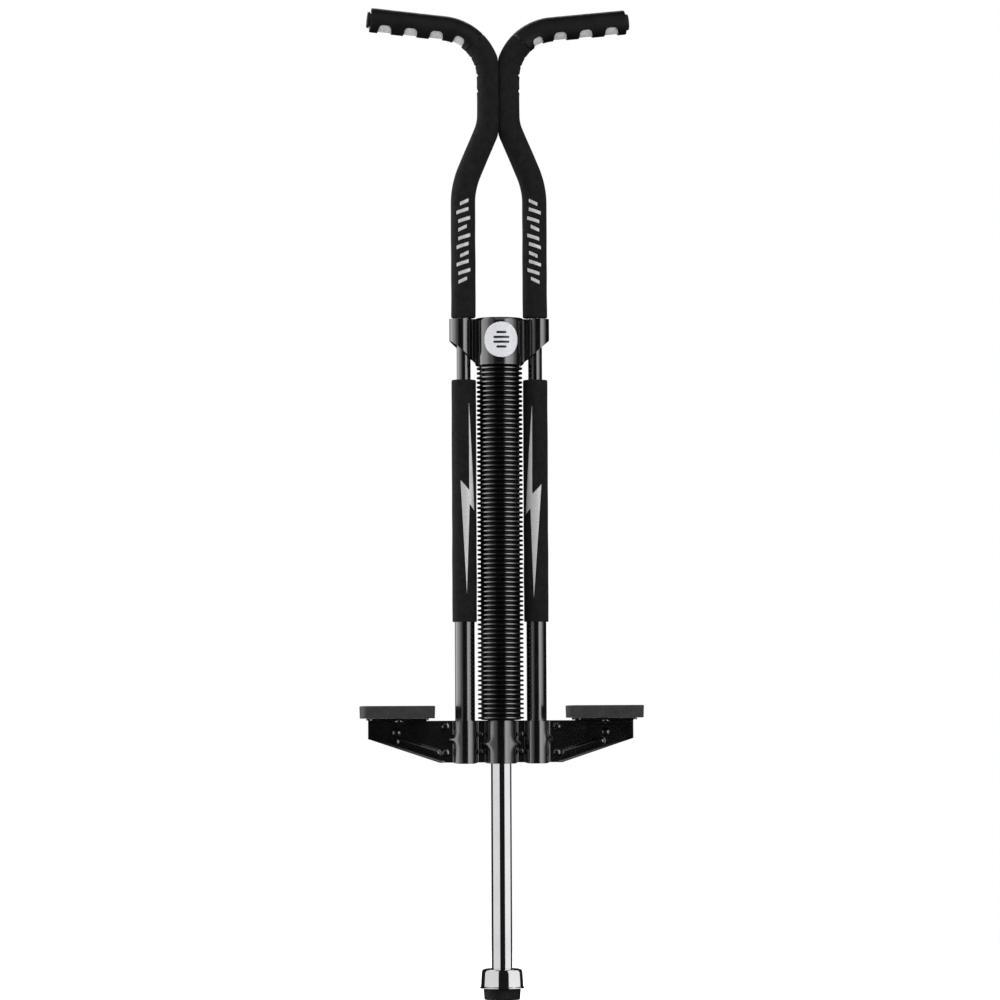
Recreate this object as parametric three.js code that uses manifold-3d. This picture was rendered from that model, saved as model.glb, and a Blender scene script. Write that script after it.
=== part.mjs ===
// Pogo stick: a sprung chrome leg that slides through a pressed foot bracket, inside a frame
// of two side tubes, a ribbed spring cover and two bent, foam-covered handlebars.
// Millimetres, +Z up, -Y is the front. The origin is under the middle of the rubber tip.
import * as THREE from 'three';
import { mergeVertices } from 'three/addons/utils/BufferGeometryUtils.js';
import Module from 'manifold-3d';

const wasm = await Module();
wasm.setup();

// ---- driving dimensions ----
const GAP = 0.3; // clearance between touching pieces
const SHEET = 2; // thickness of the pressed steel
const HALF_GAP = GAP / 2; // each shell stops this far from the middle plane

// leg
const TIP_H = 12;
const TIP_R = 20;
const FERRULE_TOP = 33.5;
const FERRULE_R = 22.5;
const FERRULE_LIP_R = 23.8;
const FERRULE_BORE_R = 18;
const SHAFT_R = 11;
const SHAFT_WALL = 2;
const SHAFT_TOP = 520;

// foot bracket
const FOOT_LOW = 254;
const FOOT_TOP = 299;
const WING_X = 143.3;
const WING_LOW = 279.7; // height of the wing's outer bottom corner
const WING_KNEE_X = 66; // where the wing's bottom edge starts to rise
const FLANGE_X = 80; // inner end of the flange under each pad
const FLANGE_DEPTH = 38;
const CENTRE_BULGE_R = 17.2;
const SIDE_BULGE_R = 13.1;

// foot pads
const PAD_IN_X = 73.5;
const PAD_OUT_X = 150.5;
const PAD_HALF_DEPTH = 44;
const PAD_LOW = 301.8;
const PAD_H = 13.2;
const PAD_SCREW_X = 111;
const PAD_SCREW_Y = 22;

// side tubes and their foam
const TUBE_X = 38.7;
const LOWER_TUBE_R = 10.7;
const LOWER_TUBE_WALL = 1.6;
const LOWER_TUBE_LOW = 256;
const LOWER_TUBE_TOP = 652;
const LOWER_FOAM_LOW = 405;
const LOWER_FOAM_TOP = 666;
const FOAM_R = 13.25;

// handlebars: centreline in the X-Z plane
const HANDLE_R = 7.5;
const HANDLE_WALL = 1.5;
const HANDLE_LOW = 585;
const NECK_X = 9.8; // half the distance between the two bars where they run side by side
const NECK_LOW = 943; // corner where each bar turns in to the neck
const SHOULDER_Z = 875.5; // corner where each bar leaves the vertical
const NECK_BEND_R = 48;
const SHOULDER_BEND_R = 85;
const GRIP_BEND_Z = 994;
const GRIP_BEND_R = 54;
const GRIP_RISE = 5.9; // degrees the grips rise towards their ends
const GRIP_END_X = 139;
const FOAM_END_TURN = 45; // degrees round the grip bend where the foam meets the grip

// grips
const GRIP_CORE_R = 11.8;
const WINDOW_X = 38.5; // the first finger window
const WINDOW_PITCH = 27.9;
const WINDOW_COUNT = 4;
const WINDOW_W = 15.4;
const WINDOW_TOP = 5.8; // below the grip's centreline

// head bracket
const HEAD_LOW = 681.5;
const HEAD_TOP = 732;
const BARREL_R = 26;
const LOBE_X = 41.8;
const LOBE_R = 12.2;
const LOBE_TUBE_R = 10.2; // the lobe's inner side, which follows the handlebar tube
const LOBE_CORNER_Z = 709; // where the lobe's outer edge turns in
const EMBLEM_R = 19.1;
const EMBLEM_Z = 708;

// spring cover
const COVER_R = 24.25;
const COVER_ROOT_R = 20.9;
const COVER_BORE_R = 19.4;
const COVER_LOW = 299.6;
const RIB_COUNT = 76;
const RIB_PITCH = 5.02;
const COVER_TOP = 696;

// spring and what holds it
const SPRING_LOW = 315.6;
const SPRING_TOP = 699;
const SPRING_R = 14.9;
const WIRE_R = 2.5;
const SPRING_TURNS = 25;

// ---- facets ----
const SMALL = 10; // sides of a rivet, a screw and their holes
const ROUND = 16; // sides of a round piece
const FINE = 24; // sides of a large round piece
const BAR = 12; // sides of a bar, its foam and its grip

const deg = THREE.MathUtils.degToRad;

// ---- materials ----
function material(color, roughness, metalness) {
  return new THREE.MeshStandardMaterial({ color, roughness, metalness });
}
const looks = {
  blackPaint: () => material(0x0c0c0e, 0.25, 0.1),
  foam: () => material(0x151517, 0.95, 0),
  grip: () => material(0x0e0e10, 0.6, 0),
  core: () => material(0xb5b5b3, 0.7, 0),
  cover: () => material(0x0d0d10, 0.3, 0),
  pad: () => material(0x47474b, 0.85, 0),
  chrome: () => material(0xd8d8dc, 0.08, 1),
  steel: () => material(0x9a9a9e, 0.35, 1),
  rubber: () => material(0x101010, 0.8, 0),
  emblem: () => material(0xdfe2ea, 0.4, 0.2),
  plastic: () => material(0x17171a, 0.45, 0),
};

// ---- solids ----
function toSolid(geometry) {
  const bare = geometry.clone();
  bare.deleteAttribute('normal');
  bare.deleteAttribute('uv');
  const merged = mergeVertices(bare, 1e-4);
  const triVerts = new Uint32Array(merged.index.array);
  const vertProperties = new Float32Array(merged.attributes.position.array);
  return new wasm.Manifold(new wasm.Mesh({ numProp: 3, vertProperties, triVerts }));
}

function fromSolid(solid) {
  const mesh = solid.getMesh();
  const geometry = new THREE.BufferGeometry();
  geometry.setAttribute('position', new THREE.BufferAttribute(new Float32Array(mesh.vertProperties), 3));
  geometry.setIndex(new THREE.BufferAttribute(new Uint32Array(mesh.triVerts), 1));
  return geometry;
}

function join(geometries) {
  const solids = geometries.map(toSolid);
  return fromSolid(solids.reduce((all, next) => all.add(next)));
}

function cut(geometry, cutters) {
  return fromSolid(cutters.map(toSolid).reduce((left, next) => left.subtract(next), toSolid(geometry)));
}

function common(geometry, other) {
  return fromSolid(toSolid(geometry).intersect(toSolid(other)));
}

// A closed profile of [radius, height] pairs turned about the Z axis, listed anticlockwise
// as seen with the radius to the right and the height up.
function turned(profile, sides = ROUND) {
  const points = [...profile, profile[0]].map(([radius, height]) => new THREE.Vector2(radius, height));
  return new THREE.LatheGeometry(points, sides).rotateX(Math.PI / 2);
}

function ring(outer, inner, low, high, sides = ROUND) {
  return turned([[inner, low], [outer, low], [outer, high], [inner, high]], sides);
}

function rod(radius, low, high, sides = ROUND) {
  return new THREE.CylinderGeometry(radius, radius, high - low, sides)
    .rotateX(Math.PI / 2)
    .translate(0, 0, (low + high) / 2);
}

// A rod along Y through (x, z).
function crossRod(radius, x, z, front, back, sides = ROUND) {
  return new THREE.CylinderGeometry(radius, radius, back - front, sides)
    .translate(0, (front + back) / 2, 0)
    .translate(x, 0, z);
}

function block(x0, x1, y0, y1, z0, z1) {
  return new THREE.BoxGeometry(x1 - x0, y1 - y0, z1 - z0)
    .translate((x0 + x1) / 2, (y0 + y1) / 2, (z0 + z1) / 2);
}

// An X-Z outline given thickness from y = front to y = back.
function slab(shape, front, back, curveSegments = 6) {
  return new THREE.ExtrudeGeometry(shape, { depth: back - front, bevelEnabled: false, curveSegments })
    .rotateX(Math.PI / 2)
    .translate(0, back, 0);
}

function outline(points) {
  return new THREE.Shape(points.map(([x, z]) => new THREE.Vector2(x, z)));
}

function roundedBox(x0, x1, y0, y1, radius) {
  const shape = new THREE.Shape();
  shape.moveTo(x0 + radius, y0);
  shape.lineTo(x1 - radius, y0);
  shape.absarc(x1 - radius, y0 + radius, radius, -Math.PI / 2, 0);
  shape.lineTo(x1, y1 - radius);
  shape.absarc(x1 - radius, y1 - radius, radius, 0, Math.PI / 2);
  shape.lineTo(x0 + radius, y1);
  shape.absarc(x0 + radius, y1 - radius, radius, Math.PI / 2, Math.PI);
  shape.lineTo(x0, y0 + radius);
  shape.absarc(x0 + radius, y0 + radius, radius, Math.PI, 1.5 * Math.PI);
  return shape;
}

// ---- the bars' centreline ----
// A run of straight and round stretches in the X-Z plane. Turn is in radians, positive outwards.
const SLANT = Math.atan2(TUBE_X - NECK_X, NECK_LOW - SHOULDER_Z);
const SHOULDER_TRIM = SHOULDER_BEND_R * Math.tan(SLANT / 2);
const NECK_TRIM = NECK_BEND_R * Math.tan(SLANT / 2);
const SLANT_LENGTH = (NECK_LOW - SHOULDER_Z) / Math.cos(SLANT) - SHOULDER_TRIM - NECK_TRIM;
const GRIP_TURN = Math.PI / 2 - deg(GRIP_RISE);
const GRIP_STRAIGHT = (GRIP_END_X - NECK_X - GRIP_BEND_R * (1 - Math.cos(GRIP_TURN))) / Math.sin(GRIP_TURN);
const STRETCHES = [
  { length: SHOULDER_Z - SHOULDER_TRIM - HANDLE_LOW, turn: 0 },
  { length: SHOULDER_BEND_R * SLANT, turn: -SLANT },
  { length: SLANT_LENGTH, turn: 0 },
  { length: NECK_BEND_R * SLANT, turn: SLANT },
  { length: GRIP_BEND_Z - NECK_LOW - NECK_TRIM, turn: 0 },
  { length: GRIP_BEND_R * GRIP_TURN, turn: GRIP_TURN },
  { length: GRIP_STRAIGHT, turn: 0 },
];

// The point and heading of the centreline at a distance from its lower end.
function along(distance) {
  let x = TUBE_X;
  let z = HANDLE_LOW;
  let heading = 0;
  let left = distance;
  for (const stretch of STRETCHES) {
    const part = Math.min(left, stretch.length);
    const bend = stretch.turn * (part / stretch.length);
    if (Math.abs(bend) > 1e-9) {
      const radius = part / bend;
      x += radius * (Math.cos(heading) - Math.cos(heading + bend));
      z += radius * (Math.sin(heading + bend) - Math.sin(heading));
    } else {
      x += part * Math.sin(heading);
      z += part * Math.cos(heading);
    }
    heading += bend;
    left -= part;
    if (left <= 0) break;
  }
  return { x, z, heading };
}

function stretchStart(index) {
  return STRETCHES.slice(0, index).reduce((sum, stretch) => sum + stretch.length, 0);
}
const BAR_LENGTH = stretchStart(STRETCHES.length);
const FOAM_START = HEAD_TOP + 1.2 - HANDLE_LOW;
const GRIP_START = stretchStart(5) + GRIP_BEND_R * deg(FOAM_END_TURN);

// Distances at which every piece on the bar has a section: the ends of each stretch, a step
// every few degrees of bend, and the ends of the foam and the grip.
const BEND_STEP = deg(11);
function stations() {
  const list = [FOAM_START, GRIP_START];
  STRETCHES.forEach((stretch, index) => {
    const steps = Math.max(1, Math.round(Math.abs(stretch.turn) / BEND_STEP));
    for (let i = 0; i <= steps; i += 1) list.push(stretchStart(index) + (stretch.length * i) / steps);
  });
  list.sort((a, b) => a - b);
  return list.filter((value, i) => i === 0 || value - list[i - 1] > 1e-6);
}
const STATIONS = stations();

class BarCurve extends THREE.Curve {
  constructor(from, to) {
    super();
    const inside = STATIONS.filter((value) => value > from + 1e-6 && value < to - 1e-6);
    this.stops = [from, ...inside, to];
  }

  get steps() {
    return this.stops.length - 1;
  }

  distance(t) {
    const place = Math.min(t * this.steps, this.steps - 1e-9);
    const index = Math.floor(place);
    return THREE.MathUtils.lerp(this.stops[index], this.stops[index + 1], place - index);
  }

  getUtoTmapping(u) {
    return u;
  }

  getPoint(t, target = new THREE.Vector3()) {
    const spot = along(this.distance(t));
    return target.set(spot.x, 0, spot.z);
  }

  getTangent(t, target = new THREE.Vector3()) {
    const { heading } = along(this.distance(t));
    return target.set(Math.sin(heading), 0, Math.cos(heading));
  }
}

function barSleeve(outer, inner, from, to) {
  const section = new THREE.Shape().absarc(0, 0, outer, 0, 2 * Math.PI);
  if (inner > 0) section.holes.push(new THREE.Path().absarc(0, 0, inner, 0, 2 * Math.PI));
  const curve = new BarCurve(from, to);
  return new THREE.ExtrudeGeometry(section, {
    steps: curve.steps,
    extrudePath: curve,
    curveSegments: BAR / 2,
  });
}

// ---- handlebar pieces, drawn for the +X side ----
function handleTube() {
  return barSleeve(HANDLE_R, HANDLE_R - HANDLE_WALL, 0, BAR_LENGTH);
}

// The foam is pressed flat where the two bars meet.
function upperFoam() {
  const sleeve = barSleeve(FOAM_R, HANDLE_R + GAP, FOAM_START, GRIP_START - GAP);
  return cut(sleeve, [block(-50, HALF_GAP, -50, 50, SHOULDER_Z, GRIP_BEND_Z + 2 * GRIP_BEND_R)]);
}

function fingerWindow(index) {
  const x = WINDOW_X + index * WINDOW_PITCH;
  const bendEnd = along(stretchStart(6));
  let distance = stretchStart(6) + (x - bendEnd.x) / Math.sin(GRIP_TURN);
  if (x < bendEnd.x) {
    distance = stretchStart(5) + GRIP_BEND_R * Math.acos(1 - (x - NECK_X) / GRIP_BEND_R);
  }
  const spot = along(distance);
  const half = WINDOW_W / 2;
  const shape = new THREE.Shape();
  shape.moveTo(-half, -2 * FOAM_R);
  shape.lineTo(half, -2 * FOAM_R);
  shape.lineTo(half - 1, -WINDOW_TOP - 4);
  shape.quadraticCurveTo(half - 1.5, -WINDOW_TOP, half - 5, -WINDOW_TOP);
  shape.lineTo(5 - half, -WINDOW_TOP);
  shape.quadraticCurveTo(1.5 - half, -WINDOW_TOP, 1 - half, -WINDOW_TOP - 4);
  return slab(shape, -2 * FOAM_R, 2 * FOAM_R, 3)
    .rotateY(spot.heading - Math.PI / 2)
    .translate(spot.x, 0, spot.z);
}

function grip() {
  const sleeve = barSleeve(FOAM_R, GRIP_CORE_R + GAP, GRIP_START, BAR_LENGTH - 0.5);
  const windows = Array.from({ length: WINDOW_COUNT }, (_, index) => fingerWindow(index));
  return cut(sleeve, windows);
}

function gripCore() {
  return barSleeve(GRIP_CORE_R, HANDLE_R + GAP, GRIP_START, BAR_LENGTH - 1);
}

// A plug in the tube's open end, with a rim that stands past the grip.
function endPlug() {
  const end = along(BAR_LENGTH);
  const stem = HANDLE_R - HANDLE_WALL - GAP;
  const rim = 8.8;
  return turned([
    [0, -14], [stem, -14], [stem, GAP], [rim, GAP], [rim, 2.2], [rim - 1.4, 3.2], [0, 3.4],
  ], BAR).rotateY(end.heading).translate(end.x, 0, end.z);
}

// ---- side tubes ----
function lowerTube() {
  const bore = LOWER_TUBE_R - LOWER_TUBE_WALL;
  const neck = HANDLE_R + GAP;
  return turned([
    [bore, LOWER_TUBE_LOW], [LOWER_TUBE_R, LOWER_TUBE_LOW], [LOWER_TUBE_R, LOWER_TUBE_TOP - 14],
    [neck + 1.6, LOWER_TUBE_TOP - 6], [neck + 1.6, LOWER_TUBE_TOP], [neck, LOWER_TUBE_TOP],
    [neck, LOWER_TUBE_TOP - 20], [bore, LOWER_TUBE_TOP - 28],
  ]);
}

function lowerFoam() {
  const bore = LOWER_TUBE_R + GAP;
  const neck = HANDLE_R + GAP;
  return turned([
    [bore, LOWER_FOAM_LOW], [FOAM_R - 0.8, LOWER_FOAM_LOW], [FOAM_R, LOWER_FOAM_LOW + 1.5],
    [FOAM_R, LOWER_FOAM_TOP - 1.5], [FOAM_R - 0.8, LOWER_FOAM_TOP], [neck, LOWER_FOAM_TOP],
    [neck, LOWER_TUBE_TOP + 1], [neck + 2, LOWER_TUBE_TOP + 1], [neck + 2, LOWER_TUBE_TOP - 5],
    [bore, LOWER_TUBE_TOP - 13],
  ]);
}

// ---- head bracket ----
// The outline of a shell seen from the front: straight top, and a bottom edge that climbs
// from the barrel to the outside of each lobe.
function headOutline() {
  const out = LOBE_X + LOBE_R + 2;
  return outline([
    [-out, LOBE_CORNER_Z + 1.8], [-BARREL_R + 3, HEAD_LOW], [BARREL_R - 3, HEAD_LOW],
    [out, LOBE_CORNER_Z + 1.8], [out, HEAD_TOP], [-out, HEAD_TOP],
  ]);
}

function headShell() {
  const low = HEAD_LOW - 5;
  const high = HEAD_TOP + 5;
  const columns = (inset, extra) => [-1, 1].flatMap((side) => [
    rod(LOBE_R - inset, low - extra, high + extra, FINE).translate(side * LOBE_X, 0, 0),
    rod(LOBE_TUBE_R - inset, low - extra, high + extra, FINE).translate(side * TUBE_X, 0, 0),
  ]);
  const outside = join([
    rod(BARREL_R, low, high, FINE),
    ...columns(0, 0),
    block(-LOBE_X, LOBE_X, -SHEET - HALF_GAP, 0, low, high),
  ]);
  const hollow = [
    rod(BARREL_R - SHEET, low - 1, high + 1, FINE),
    ...columns(SHEET, 1),
    block(-100, 100, -HALF_GAP, 100, low - 1, high + 1),
  ];
  return common(cut(outside, hollow), slab(headOutline(), -2 * BARREL_R, 2 * BARREL_R));
}

// Fills the lobe round the handlebar tube.
function headInsert() {
  const filler = rod(LOBE_R - SHEET - GAP, LOBE_CORNER_Z + 4, HEAD_TOP - 1).translate(LOBE_X, 0, 0);
  return cut(filler, [rod(HANDLE_R + GAP, HEAD_LOW, HEAD_TOP + 5, BAR).translate(TUBE_X, 0, 0)]);
}

// A shallow cap pressed into the top of the barrel.
function headCap() {
  const plug = BARREL_R - SHEET - GAP;
  return turned([
    [0, HEAD_TOP - 6], [plug, HEAD_TOP - 6], [plug, HEAD_TOP - 0.8], [plug - 1.4, HEAD_TOP + 0.2],
    [plug - 9, HEAD_TOP + 0.6], [0, HEAD_TOP + 0.8],
  ], FINE);
}

function emblemDisc() {
  const skin = ring(BARREL_R + GAP + 0.8, BARREL_R + GAP, EMBLEM_Z - 25, EMBLEM_Z + 25, 2 * FINE);
  return common(skin, crossRod(EMBLEM_R, 0, EMBLEM_Z, -2 * BARREL_R, -1, FINE));
}

function upperSpringSeat() {
  const low = SPRING_TOP + GAP;
  const rim = BARREL_R - SHEET - GAP;
  const guide = SPRING_R - WIRE_R - 1;
  return turned([
    [5, low - 12], [guide - 1, low - 12], [guide, low - 10], [guide, low], [rim, low], [rim, low + 4],
    [5, low + 4],
  ]);
}

// ---- spring cover: level ribs round a thin wall, with a plain collar at each end ----
function springCover() {
  const profile = [[COVER_BORE_R, COVER_LOW], [COVER_ROOT_R, COVER_LOW]];
  const firstRib = COVER_LOW + 2.2;
  for (let i = 0; i < RIB_COUNT; i += 1) {
    const middle = firstRib + i * RIB_PITCH;
    profile.push([COVER_R, middle]);
    profile.push([COVER_ROOT_R, middle + RIB_PITCH / 2]);
  }
  profile.push([COVER_ROOT_R, COVER_TOP], [COVER_BORE_R, COVER_TOP]);
  return turned(profile, 12);
}

// ---- spring ----
class HelixCurve extends THREE.Curve {
  getPoint(t, target = new THREE.Vector3()) {
    const angle = 2 * Math.PI * SPRING_TURNS * t;
    const height = SPRING_LOW + WIRE_R + t * (SPRING_TOP - SPRING_LOW - 2 * WIRE_R);
    return target.set(SPRING_R * Math.cos(angle), SPRING_R * Math.sin(angle), height);
  }
}

function spring() {
  const section = new THREE.Shape().absarc(0, 0, WIRE_R, 0, 2 * Math.PI);
  return new THREE.ExtrudeGeometry(section, {
    steps: SPRING_TURNS * 8,
    extrudePath: new HelixCurve(),
    curveSegments: 3,
  });
}

// ---- foot bracket ----
function footOutline() {
  return outline([
    [-WING_X, WING_LOW], [-WING_KNEE_X, FOOT_LOW], [WING_KNEE_X, FOOT_LOW], [WING_X, WING_LOW],
    [WING_X, FOOT_TOP + SHEET + 0.5], [FLANGE_X, FOOT_TOP + SHEET + 0.5], [FLANGE_X - 2, FOOT_TOP],
    [2 - FLANGE_X, FOOT_TOP], [-FLANGE_X, FOOT_TOP + SHEET + 0.5], [-WING_X, FOOT_TOP + SHEET + 0.5],
  ]);
}

// The long stiffening bead pressed out of each wing, along its sloping bottom edge.
function wingBead() {
  const inner = new THREE.Vector2(70, 264.5);
  const outer = new THREE.Vector2(108, 276.5);
  const length = inner.distanceTo(outer);
  const half = 4;
  const shape = new THREE.Shape();
  shape.absarc(length, 0, half, -Math.PI / 2, Math.PI / 2);
  shape.absarc(0, 0, half, Math.PI / 2, 1.5 * Math.PI);
  const slope = Math.atan2(outer.y - inner.y, outer.x - inner.x);
  return slab(shape, -SHEET - HALF_GAP - 1.4, -SHEET, 5)
    .rotateY(-slope)
    .translate(inner.x, 0, inner.y);
}

const RIVETS = [
  { name: 'outer_upper', x: 59.9, z: 293, head: 4.7 },
  { name: 'outer_lower', x: 59.9, z: 264.6, head: 4.7 },
  { name: 'inner_upper', x: 21.8, z: 284, head: 3.6 },
  { name: 'inner_lower', x: 21.8, z: 265.5, head: 3.6 },
  { name: 'wing', x: 112.8, z: 286.4, head: 4.5 },
];
const RIVET_R = 2.2;

function footShell() {
  const low = FOOT_LOW - 1.3;
  const front = -SHEET - HALF_GAP;
  const plate = slab(footOutline(), front, -HALF_GAP);
  const bulges = [
    rod(CENTRE_BULGE_R, low, FOOT_TOP),
    rod(SIDE_BULGE_R, low, FOOT_TOP).translate(TUBE_X, 0, 0),
    rod(SIDE_BULGE_R, low, FOOT_TOP).translate(-TUBE_X, 0, 0),
  ];
  const flanges = [1, -1].map((side) => new THREE.ExtrudeGeometry(
    roundedBox(FLANGE_X, WING_X, -FLANGE_DEPTH, 0, 6),
    { depth: SHEET, bevelEnabled: false, curveSegments: 3 },
  ).translate(side > 0 ? 0 : -FLANGE_X - WING_X, 0, FOOT_TOP + 0.5));
  const beads = [wingBead(), mirrored(wingBead())];
  const body = join([plate, ...bulges, ...flanges, ...beads]);
  const holes = [
    rod(CENTRE_BULGE_R - SHEET, low - 1, FOOT_TOP + 1),
    block(-200, 200, -HALF_GAP, 200, low - 5, FOOT_TOP + 20),
  ];
  for (const side of [1, -1]) {
    holes.push(rod(SIDE_BULGE_R - SHEET, low - 1, FOOT_TOP + 1).translate(side * TUBE_X, 0, 0));
    holes.push(rod(3, FOOT_TOP - 2, FOOT_TOP + 8, SMALL).translate(side * PAD_SCREW_X, -PAD_SCREW_Y, 0));
    for (const rivet of RIVETS) holes.push(crossRod(RIVET_R + GAP, side * rivet.x, rivet.z, -10, 10, SMALL));
  }
  return cut(body, holes);
}

// The same solid on the other side of the Y-Z plane.
function mirrored(geometry) {
  const flipped = geometry.clone().scale(-1, 1, 1);
  const index = flipped.index ?? new THREE.BufferAttribute(
    new Uint32Array(flipped.attributes.position.count).map((_, i) => i), 1);
  const order = index.array;
  for (let i = 0; i < order.length; i += 3) [order[i], order[i + 1]] = [order[i + 1], order[i]];
  flipped.setIndex(index);
  return flipped;
}

// A domed rivet through both shells, drawn along +Z.
function rivet(head) {
  const face = SHEET + HALF_GAP + GAP;
  return turned([
    [0, -face - 2.3], [head * 0.6, -face - 1.8], [head, -face], [RIVET_R, -face],
    [RIVET_R, face], [head, face], [head * 0.6, face + 1.8], [0, face + 2.3],
  ], SMALL);
}

// ---- foot pads ----
function footPad() {
  const bevel = 1;
  const shape = roundedBox(PAD_IN_X + bevel, PAD_OUT_X - bevel, bevel - PAD_HALF_DEPTH,
    PAD_HALF_DEPTH - bevel, 6);
  const slabOfRubber = new THREE.ExtrudeGeometry(shape, {
    depth: PAD_H - 2 * bevel,
    bevelThickness: bevel,
    bevelSize: bevel,
    bevelSegments: 1,
    curveSegments: 4,
  }).translate(0, 0, PAD_LOW + bevel);
  const sockets = [-PAD_SCREW_Y, PAD_SCREW_Y].map((y) => (
    rod(2.5 + GAP, PAD_LOW - 1, PAD_LOW + 7.5, SMALL).translate(PAD_SCREW_X, y, 0)));
  return cut(slabOfRubber, sockets);
}

function padScrew() {
  const seat = FOOT_TOP + 0.5 - GAP;
  return turned([
    [0, seat - 3], [3.6, seat - 3], [4.6, seat - 1.6], [4.6, seat], [2.5, seat], [2.5, PAD_LOW + 6.8],
    [0, PAD_LOW + 6.8],
  ], SMALL);
}

// ---- what guides and stops the leg ----
function guideBush() {
  const bore = SHAFT_R + GAP;
  const body = CENTRE_BULGE_R - SHEET - GAP;
  const flange = COVER_BORE_R - 1;
  return turned([
    [bore, FOOT_LOW - 1], [body - 1, FOOT_LOW - 1], [body, FOOT_LOW], [body, FOOT_TOP + GAP],
    [flange, FOOT_TOP + GAP], [flange, FOOT_TOP + 3], [bore, FOOT_TOP + 3],
  ]);
}

function restBuffer() {
  const low = FOOT_TOP + 3 + GAP;
  return ring(17.5, SHAFT_R + 2 * GAP, low, low + 3);
}

const COLLAR_LOW = FOOT_TOP + 6.6;
const COLLAR_TOP = SPRING_LOW - GAP;
const PIN_R = 2;

function legShaft() {
  const tube = ring(SHAFT_R, SHAFT_R - SHAFT_WALL, TIP_H + GAP, SHAFT_TOP);
  return cut(tube, [crossRod(PIN_R + GAP, 0, (COLLAR_LOW + COLLAR_TOP) / 2, -20, 20, SMALL)]);
}

function legCollar() {
  const collar = ring(17.6, SHAFT_R + GAP, COLLAR_LOW, COLLAR_TOP);
  return cut(collar, [crossRod(PIN_R + GAP, 0, (COLLAR_LOW + COLLAR_TOP) / 2, -20, 20, SMALL)]);
}

function collarPin() {
  return crossRod(PIN_R, 0, (COLLAR_LOW + COLLAR_TOP) / 2, -17, 17, SMALL);
}

// ---- foot of the leg ----
function ferrule() {
  return turned([
    [FERRULE_BORE_R, TIP_H + GAP], [FERRULE_LIP_R, TIP_H + GAP], [FERRULE_LIP_R, TIP_H + 1.6],
    [FERRULE_R, TIP_H + 2.8], [FERRULE_R - 0.6, FERRULE_TOP - 6], [FERRULE_R - 1.8, FERRULE_TOP - 2.4],
    [FERRULE_R - 4.6, FERRULE_TOP - 0.7], [SHAFT_R + GAP, FERRULE_TOP], [SHAFT_R + GAP, FERRULE_TOP - 2.5],
    [FERRULE_BORE_R, FERRULE_TOP - 4.5],
  ], FINE);
}

function rubberTip() {
  const socket = FERRULE_BORE_R - GAP;
  return turned([
    [0, 0], [TIP_R - 2, 0], [TIP_R - 1, 1], [TIP_R, TIP_H - 1], [TIP_R - 0.5, TIP_H], [socket, TIP_H],
    [socket, FERRULE_TOP - 8], [SHAFT_R + GAP, FERRULE_TOP - 8], [SHAFT_R + GAP, TIP_H], [0, TIP_H],
  ], FINE);
}

// ---- assembly ----
const pogoStick = new THREE.Group();
const frame = new THREE.Group();
const leg = new THREE.Group();
pogoStick.add(frame, leg);

function place(parent, name, geometry, look, position = [0, 0, 0], rotation = [0, 0, 0]) {
  const mesh = new THREE.Mesh(geometry, look());
  mesh.name = name;
  mesh.position.set(...position);
  mesh.rotation.set(...rotation);
  parent.add(mesh);
}

const HALF_TURN = [0, 0, Math.PI];
const ALONG_Y = [Math.PI / 2, 0, 0];
const sides = [
  { suffix: 'right', sign: 1, rotation: [0, 0, 0] },
  { suffix: 'left', sign: -1, rotation: HALF_TURN },
];

for (const { suffix, sign, rotation } of sides) {
  const onBar = (name, geometry, look) => {
    place(frame, `${name}_${suffix}`, geometry, look, [0, 0, 0], rotation);
  };
  onBar('handle_tube', handleTube(), looks.blackPaint);
  onBar('foam_upper', upperFoam(), looks.foam);
  onBar('grip', grip(), looks.grip);
  onBar('grip_core', gripCore(), looks.core);
  onBar('end_plug', endPlug(), looks.plastic);
  onBar('head_insert', headInsert(), looks.plastic);
  onBar('foot_pad', footPad(), looks.pad);
  place(frame, `lower_tube_${suffix}`, lowerTube(), looks.blackPaint, [sign * TUBE_X, 0, 0]);
  place(frame, `foam_lower_${suffix}`, lowerFoam(), looks.foam, [sign * TUBE_X, 0, 0]);
  for (const { name, x, z, head } of RIVETS) {
    place(frame, `rivet_${name}_${suffix}`, rivet(head), looks.blackPaint, [sign * x, 0, z], ALONG_Y);
  }
  for (const [end, y] of [['front', -PAD_SCREW_Y], ['rear', PAD_SCREW_Y]]) {
    place(frame, `pad_screw_${end}_${suffix}`, padScrew(), looks.steel, [sign * PAD_SCREW_X, y, 0]);
  }
}

place(frame, 'head_shell_front', headShell(), looks.blackPaint);
place(frame, 'head_shell_rear', headShell(), looks.blackPaint, [0, 0, 0], HALF_TURN);
place(frame, 'head_cap', headCap(), looks.plastic);
place(frame, 'emblem_disc', emblemDisc(), looks.emblem);
place(frame, 'spring_seat_upper', upperSpringSeat(), looks.steel);
place(frame, 'spring_cover', springCover(), looks.cover);
place(frame, 'foot_shell_front', footShell(), looks.blackPaint);
place(frame, 'foot_shell_rear', footShell(), looks.blackPaint, [0, 0, 0], HALF_TURN);
place(frame, 'guide_bush', guideBush(), looks.plastic);
place(frame, 'rest_buffer', restBuffer(), looks.rubber);
place(frame, 'spring', spring(), looks.steel);

place(leg, 'leg_shaft', legShaft(), looks.chrome);
place(leg, 'leg_collar', legCollar(), looks.steel);
place(leg, 'collar_pin', collarPin(), looks.steel);
place(leg, 'ferrule', ferrule(), looks.chrome);
place(leg, 'rubber_tip', rubberTip(), looks.rubber);

export default pogoStick;
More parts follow.
